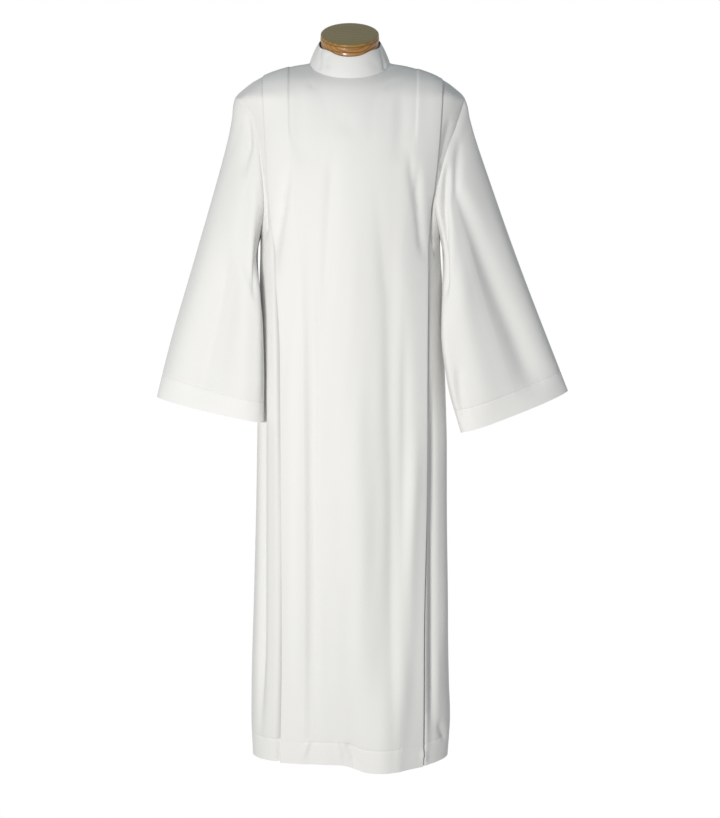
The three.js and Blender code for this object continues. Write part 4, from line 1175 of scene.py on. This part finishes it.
for wider, higher in CAP_PROFILE[1:]:
    bpy.ops.mesh.extrude_region_move(TRANSFORM_OT_translate={"value": (0, 0, higher - height)})
    factor = wider / radius
    bpy.ops.transform.resize(value=(factor, factor, 1), center_override=(0, 0, higher))
    radius, height = wider, higher
bpy.ops.object.mode_set(mode="OBJECT")
bm = bmesh.new()
bm.from_mesh(cap.data)
bmesh.ops.remove_doubles(bm, verts=bm.verts, dist=1e-6)
interior = [face for face in bm.faces
            if len(face.verts) > 4 and INSIDE[0] < face.calc_center_median().z < INSIDE[1]]
bmesh.ops.delete(bm, geom=interior, context="FACES")
bmesh.ops.recalc_face_normals(bm, faces=bm.faces)
bm.to_mesh(cap.data)
bm.free()
seat = Matrix.Translation(Vector(CAP_SEAT)) @ Matrix.Rotation(math.radians(CAP_LEAN), 4, "X")
cap.data.transform(seat @ Matrix.Diagonal((1, CAP_HALF[1] / CAP_HALF[0], 1, 1)))
cap.data.update()
smooth(cap, 35)
print("cap:", len(cap.data.polygons), "faces")

# %% [markdown]
# ## The padded form
# Under the garment sits a limbless dress form. Its cover is stretched over padding, so the shape is smooth,
# with a seam down each side and one round the bottom where the cover is tacked to a board. The CAD solid is
# copied, given an even skin and smoothed.

# %% Cover the form
form = place_object("form_cover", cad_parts["form_torso"].data.copy())
form.data.materials.clear()
deselect()
form.select_set(True)
bpy.context.view_layer.objects.active = form
bm = bmesh.new()
bm.from_mesh(form.data)
bmesh.ops.remove_doubles(bm, verts=bm.verts, dist=1e-5)
bm.to_mesh(form.data)
bm.free()
remesh = form.modifiers.new("even_skin", "REMESH")
remesh.mode = "VOXEL"
remesh.voxel_size = 0.006
bpy.ops.object.modifier_apply(modifier=remesh.name)
relax = form.modifiers.new("relax", "SMOOTH")
relax.factor = 0.5
relax.iterations = 5
bpy.ops.object.modifier_apply(modifier=relax.name)
smooth(form, 45)
print("form cover:", len(form.data.polygons), "faces")

# %% [markdown]
# ## Materials
# A finish is written as sums and products of patterns. The class below wraps a node's output, so that a
# Python expression adds the Math nodes for it, and one method makes every other kind of node.

# %% Shader maths as Python expressions
class Nodes:
    def __init__(self, tree):
        self.tree = tree
        self.tree.nodes.clear()

    def put(self, socket, value):
        if isinstance(value, Pattern):
            self.tree.links.new(value.socket, socket)
        else:
            socket.default_value = value

    def node(self, kind, settings, values, output=0):
        """Adds a node, sets it, gives its sockets values or links, and wraps one of its outputs"""
        made = self.tree.nodes.new(kind)
        for key, value in settings.items():
            if key == "stops":
                ramp = made.color_ramp
                while len(ramp.elements) < len(value):
                    ramp.elements.new(0.5)
                for element, (place, color) in zip(ramp.elements, value):
                    element.position = place
                    element.color = (*color, 1)
            else:
                setattr(made, key, value)
        for key, value in values.items():
            self.put(made.inputs[key], value)
        return Pattern(self, made.outputs[output]) if made.outputs else None

    def blend(self, share, first, second):
        first, second = ((*color, 1) if isinstance(color, tuple) else color for color in (first, second))
        return self.node("ShaderNodeMix", {"data_type": "RGBA"}, {0: share, 6: first, 7: second}, 2)


class Finish(Nodes):
    def __init__(self, name):
        self.material = bpy.data.materials.new(name)
        self.material.use_nodes = True
        super().__init__(self.material.node_tree)
        self.shader = self.tree.nodes.new("ShaderNodeBsdfPrincipled")
        output = self.tree.nodes.new("ShaderNodeOutputMaterial")
        self.tree.links.new(self.shader.outputs["BSDF"], output.inputs["Surface"])

    def set(self, **values):
        for key, value in values.items():
            self.put(self.shader.inputs[key.replace("_", " ")], value)

    def place(self):
        return self.node("ShaderNodeTexCoord", {}, {}, 3)

    def part(self, vector, index):
        return self.node("ShaderNodeSeparateXYZ", {}, {"Vector": vector}, index)

    def stretched(self, vector, scale):
        return self.node("ShaderNodeMapping", {}, {"Vector": vector, "Scale": scale})

    def noise(self, vector, scale, detail=2.0):
        return self.node("ShaderNodeTexNoise", {}, {"Vector": vector, "Scale": scale, "Detail": detail})

    def bump(self, strength, distance, height):
        return self.node("ShaderNodeBump", {}, {"Strength": strength, "Distance": distance, "Height": height})


class Pattern:
    def __init__(self, nodes, socket):
        self.nodes = nodes
        self.socket = socket

    def math(self, operation, other=0.0, swap=False):
        pair = (other, self) if swap else (self, other)
        return self.nodes.node("ShaderNodeMath", {"operation": operation}, {0: pair[0], 1: pair[1]})

    def __add__(self, other):
        return self.math("ADD", other)

    def __sub__(self, other):
        return self.math("SUBTRACT", other)

    def __mul__(self, other):
        return self.math("MULTIPLY", other)

    def __rsub__(self, other):
        return self.math("SUBTRACT", other, True)

    __radd__ = __add__
    __rmul__ = __mul__

    def sin(self):
        return self.math("SINE")

    def limited(self):
        return self.nodes.node("ShaderNodeClamp", {}, {"Value": self})


# %% [markdown]
# ### White cloth
# The cloth is a plain weave of polyester and cotton: matt, slightly warm, with fine threads that are a little
# uneven. The weave is drawn with two sine waves on the UV map, which is in metres along the cloth. Where the
# cloth lies double, at the hem and the cuffs, less light passes through it, so it looks whiter. Just outside
# each pleat's fold the same attribute goes below zero, and there the colour is darkened as painted shade.

# %% Weave the white cloth
THREADS = 1900.0 * FULL_TURN


def shaded(shade, *color):
    return tuple(shade * value for value in color)


def white_cloth(name, shade, weave_bump):
    finish = Finish(name)
    uv = finish.node("ShaderNodeUVMap", {"uv_map": "weave"}, {})
    slub = finish.noise(finish.stretched(uv, (260.0, 30.0, 1.0)), 1.0)
    pick = finish.noise(finish.stretched(uv, (36.0, 300.0, 1.0)), 1.0)
    warp = (finish.part(uv, 0) * THREADS + slub * 3.0).sin()
    weft = (finish.part(uv, 1) * THREADS + pick * 3.0).sin()
    soft = finish.noise(uv, 9.0, 3.0)
    tint = (soft * 0.5 + slub * 0.25 + pick * 0.25).limited()
    color = finish.blend(tint, shaded(shade, 0.975, 0.972, 0.955), shaded(shade, 1.01, 1.006, 0.99))
    doubled = finish.node("ShaderNodeAttribute", {"attribute_name": "doubled"}, {}, 2)
    color = finish.blend(doubled * 0.6, color, shaded(shade, 1.05, 1.045, 1.03))
    # Painted shade: negative values of the attribute blend in a grey tone beside each pleat's fold edge
    painted_fold_shade = (doubled * -1.0).limited()
    color = finish.blend(painted_fold_shade * 0.8, color, shaded(shade, 0.66, 0.655, 0.64))
    bump = finish.bump(weave_bump, 0.0004, warp * weft * 0.25 + slub * 0.35 + pick * 0.35)
    finish.set(Base_Color=color, Roughness=0.78 + slub * 0.1, Normal=bump, Sheen_Weight=0.12,
               Sheen_Roughness=0.5, Specular_IOR_Level=0.3)
    return finish.material


cloth_finish = white_cloth("white cloth", 0.80, 0.35)
collar_finish = white_cloth("white collar cloth", 0.79, 0.3)
print("cloth finishes:", cloth_finish.name, "and", collar_finish.name)

# %% Thread, a little brighter and smoother than the cloth
thread = Finish("white thread")
twist = thread.noise(thread.place(), 2400.0, 1.0)
thread.set(Base_Color=thread.blend(twist, (0.72, 0.715, 0.7), (0.83, 0.825, 0.81)), Roughness=0.5)

# %% [markdown]
# ### Varnished wood
# The cap is turned from a board, so its top shows long grain that curves a little, and its rim shows the same
# grain cut across. A wave texture bent by noise gives the years, fine stretched noise gives the pores, and a
# coat gives the varnish with its sharp highlight.

# %% Varnish the wood
wood = Finish("varnished wood")
board = wood.node("ShaderNodeMapping", {}, {
    "Vector": wood.place(), "Location": (0.035, 0.11, -1.30), "Rotation": (0.41, 0.0, 0.25)})
bend = wood.noise(board, 11.0)
years = wood.node("ShaderNodeTexWave", {"wave_type": "RINGS", "rings_direction": "Z"},
                  {"Vector": board, "Scale": 46.0, "Distortion": 2.2, "Detail": 2.0, "Detail Scale": 1.4}, 1)
pores = wood.noise(wood.stretched(board, (500.0, 500.0, 60.0)), 1.0, 3.0)
grain = (years * 0.4 + pores * 0.25 + bend * 0.5).limited()
OLIVE = [(0.25, (0.19, 0.13, 0.018)), (0.55, (0.25, 0.175, 0.028)), (0.85, (0.31, 0.225, 0.048))]
ORANGE = [(0.25, (0.21, 0.085, 0.015)), (0.55, (0.33, 0.155, 0.038)), (0.85, (0.42, 0.215, 0.066))]
top_color, side_color = (wood.node("ShaderNodeValToRGB", {"stops": stops}, {"Fac": grain})
                         for stops in (OLIVE, ORANGE))
CAP_AXIS = (0.0, -0.4, 0.917)
facing = wood.node("ShaderNodeNewGeometry", {}, {}, 1)
upward = wood.node("ShaderNodeVectorMath", {"operation": "DOT_PRODUCT"}, {0: facing, 1: CAP_AXIS}, 1)
flat_top = wood.node("ShaderNodeMapRange", {}, {"Value": upward, "From Min": 0.45, "From Max": 0.98})
wood.set(Base_Color=wood.blend(flat_top, side_color, top_color), Roughness=0.36 + pores * 0.12,
         Normal=wood.bump(0.2, 0.0002, pores), Coat_Weight=0.25, Coat_Roughness=0.12)

# %% The form's linen cover, the steel of the stand and the button's plastic
LINEN_THREADS = 6600.0
linen = Finish("form linen")
place = linen.place()
rough = linen.noise(place, 180.0)
weave = (linen.part(place, 0) * LINEN_THREADS + rough * 2.0).sin()
weave = weave * (linen.part(place, 2) * LINEN_THREADS + rough * 2.0).sin()
linen.set(Base_Color=linen.blend(rough, (0.48, 0.43, 0.34), (0.66, 0.61, 0.52)), Roughness=0.9,
          Normal=linen.bump(0.5, 0.0006, weave * 0.4 + rough))

steel = Finish("satin steel")
scratches = steel.noise(steel.stretched(steel.place(), (900.0, 900.0, 30.0)), 1.0)
steel.set(Base_Color=steel.blend(scratches, (0.46, 0.46, 0.45), (0.62, 0.62, 0.61)), Metallic=1.0,
          Roughness=0.28 + scratches * 0.2, Normal=steel.bump(0.15, 0.0002, scratches))

plastic = Finish("white button plastic")
cloudy = plastic.noise(plastic.place(), 420.0)
plastic.set(Base_Color=plastic.blend(cloudy, (0.78, 0.775, 0.76), (0.88, 0.875, 0.86)),
            Roughness=0.25 + cloudy * 0.1)

# %% Put the finishes on the pieces
def finish_with(piece, material):
    piece.data.materials.clear()
    piece.data.materials.append(material)


for piece in [front, backs["left"], backs["right"], sleeves["left"], sleeves["right"]]:
    finish_with(piece, cloth_finish)
finish_with(collar, collar_finish)
for piece in (pleat_stitches, hem_stitches, cuff_stitches):
    finish_with(piece, thread.material)
finish_with(cap, wood.material)
finish_with(form, linen.material)
finish_with(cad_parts["collar_button"], plastic.material)
finish_with(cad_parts["form_pole"], steel.material)
finish_with(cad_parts["form_base"], steel.material)
smooth(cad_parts["form_pole"], 40)

# %% [markdown]
# ## What stands for what
# Each piece rides on the one body of the part and takes over from its CAD solid, which is hidden.

# %% Attach the pieces and hide the CAD solids they replace
pieces = {
    "front": (front, "white_cloth"),
    "back_left": (backs["left"], "white_cloth"),
    "back_right": (backs["right"], "white_cloth"),
    "sleeve_left": (sleeves["left"], "white_cloth"),
    "sleeve_right": (sleeves["right"], "white_cloth"),
    "collar": (collar, "collar_cloth"),
    "form_neck_cap": (cap, "varnished_wood"),
    "form_torso": (form, "form_cloth"),
}
for node, (piece, slot) in pieces.items():
    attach(piece, "root")
    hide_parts(node)
for piece in (pleat_stitches, hem_stitches, cuff_stitches):
    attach(piece, "root")

# %% [markdown]
# ## Studio
# The garment was photographed against pure white with a lamp from the front, a little to the left and lower
# than the shoulders, in a room that is dim above and to the right. The world is therefore white where the
# camera looks at it, and gives the cloth a weaker light that changes with the direction: cool and dim from
# above, warm from below. A small lamp near the camera gives the sharp highlights on the varnish.

# %% Room of light
ROOM_LIGHT = 0.4
CEILING = {"axis": (0.0, 0.1, 1.0), "start": -0.05, "stop": 0.85, "low": 1.0, "high": 0.62}
DIM_SIDE = {"axis": (1.0, -0.35, 0.1), "start": -0.1, "stop": 0.95, "low": 1.0, "high": 1.1}
BEHIND = {"axis": (0.0, 1.0, 0.0), "start": 0.0, "stop": 0.9, "low": 1.0, "high": 2.3}
COOL = (0.86, 0.95, 1.0)
WARM = (1.0, 0.965, 0.93)

world = bpy.data.worlds.new("white room")
bpy.context.scene.world = world
world.use_nodes = True
studio = Nodes(world.node_tree)
direction = studio.node("ShaderNodeTexCoord", {}, {})


def towards(axis, start, stop, low, high):
    along = studio.node("ShaderNodeVectorMath", {"operation": "DOT_PRODUCT"},
                        {0: direction, 1: Vector(axis).normalized()}, 1)
    return studio.node("ShaderNodeMapRange", {"interpolation_type": "SMOOTHSTEP"},
                       {"Value": along, "From Min": start, "From Max": stop, "To Min": low, "To Max": high})


strength = towards(**CEILING) * towards(**DIM_SIDE) * towards(**BEHIND) * ROOM_LIGHT
room_color = studio.blend(towards((0.0, 0.0, 1.0), -0.6, 0.6, 0.0, 1.0), WARM, COOL)
room = studio.node("ShaderNodeBackground", {}, {"Color": room_color, "Strength": strength})
backdrop = studio.node("ShaderNodeBackground", {}, {"Color": (1.0, 1.0, 1.0, 1)})
seen = studio.node("ShaderNodeLightPath", {}, {})
chosen = studio.node("ShaderNodeMixShader", {}, {0: seen, 1: room, 2: backdrop})
studio.node("ShaderNodeOutputWorld", {}, {"Surface": chosen})
print("room:", len(studio.tree.nodes), "nodes")


# %% Lamps
def lamp(name, place, target, size, power, color):
    data = bpy.data.lights.new(name, "AREA")
    data.shape = "SQUARE"
    data.size = size
    data.energy = power
    data.color = color
    piece = place_object(name, data)
    piece.location = place
    piece.rotation_euler = (Vector(target) - Vector(place)).to_track_quat("-Z", "Y").to_euler()


lamp("key", (-1.15, -3.0, 0.95), (0, 0, 0.9), 0.7, 72.0, (1.0, 0.985, 0.96))
lamp("flash", (0.03, -3.9, 1.45), (0, 0, 1.3), 0.12, 4.0, (1.0, 1.0, 1.0))

# %% [markdown]
# ## Camera
# The lens and the height were worked out from the way the ovals of the cap, the cuffs and the hem open.

# %% Camera
CAMERA_PLACE = (0.021, -4.0, 1.335)
CAMERA_DOWN = 8.095
CAMERA_LENS = 83.84
data = bpy.data.cameras.new("camera")
data.lens = CAMERA_LENS
data.sensor_width = 36.0
camera = place_object("camera", data)
camera.location = CAMERA_PLACE
camera.rotation_euler = (math.radians(90 - CAMERA_DOWN), 0, 0)
bpy.context.scene.camera = camera
bpy.context.scene.view_settings.view_transform = "Standard"
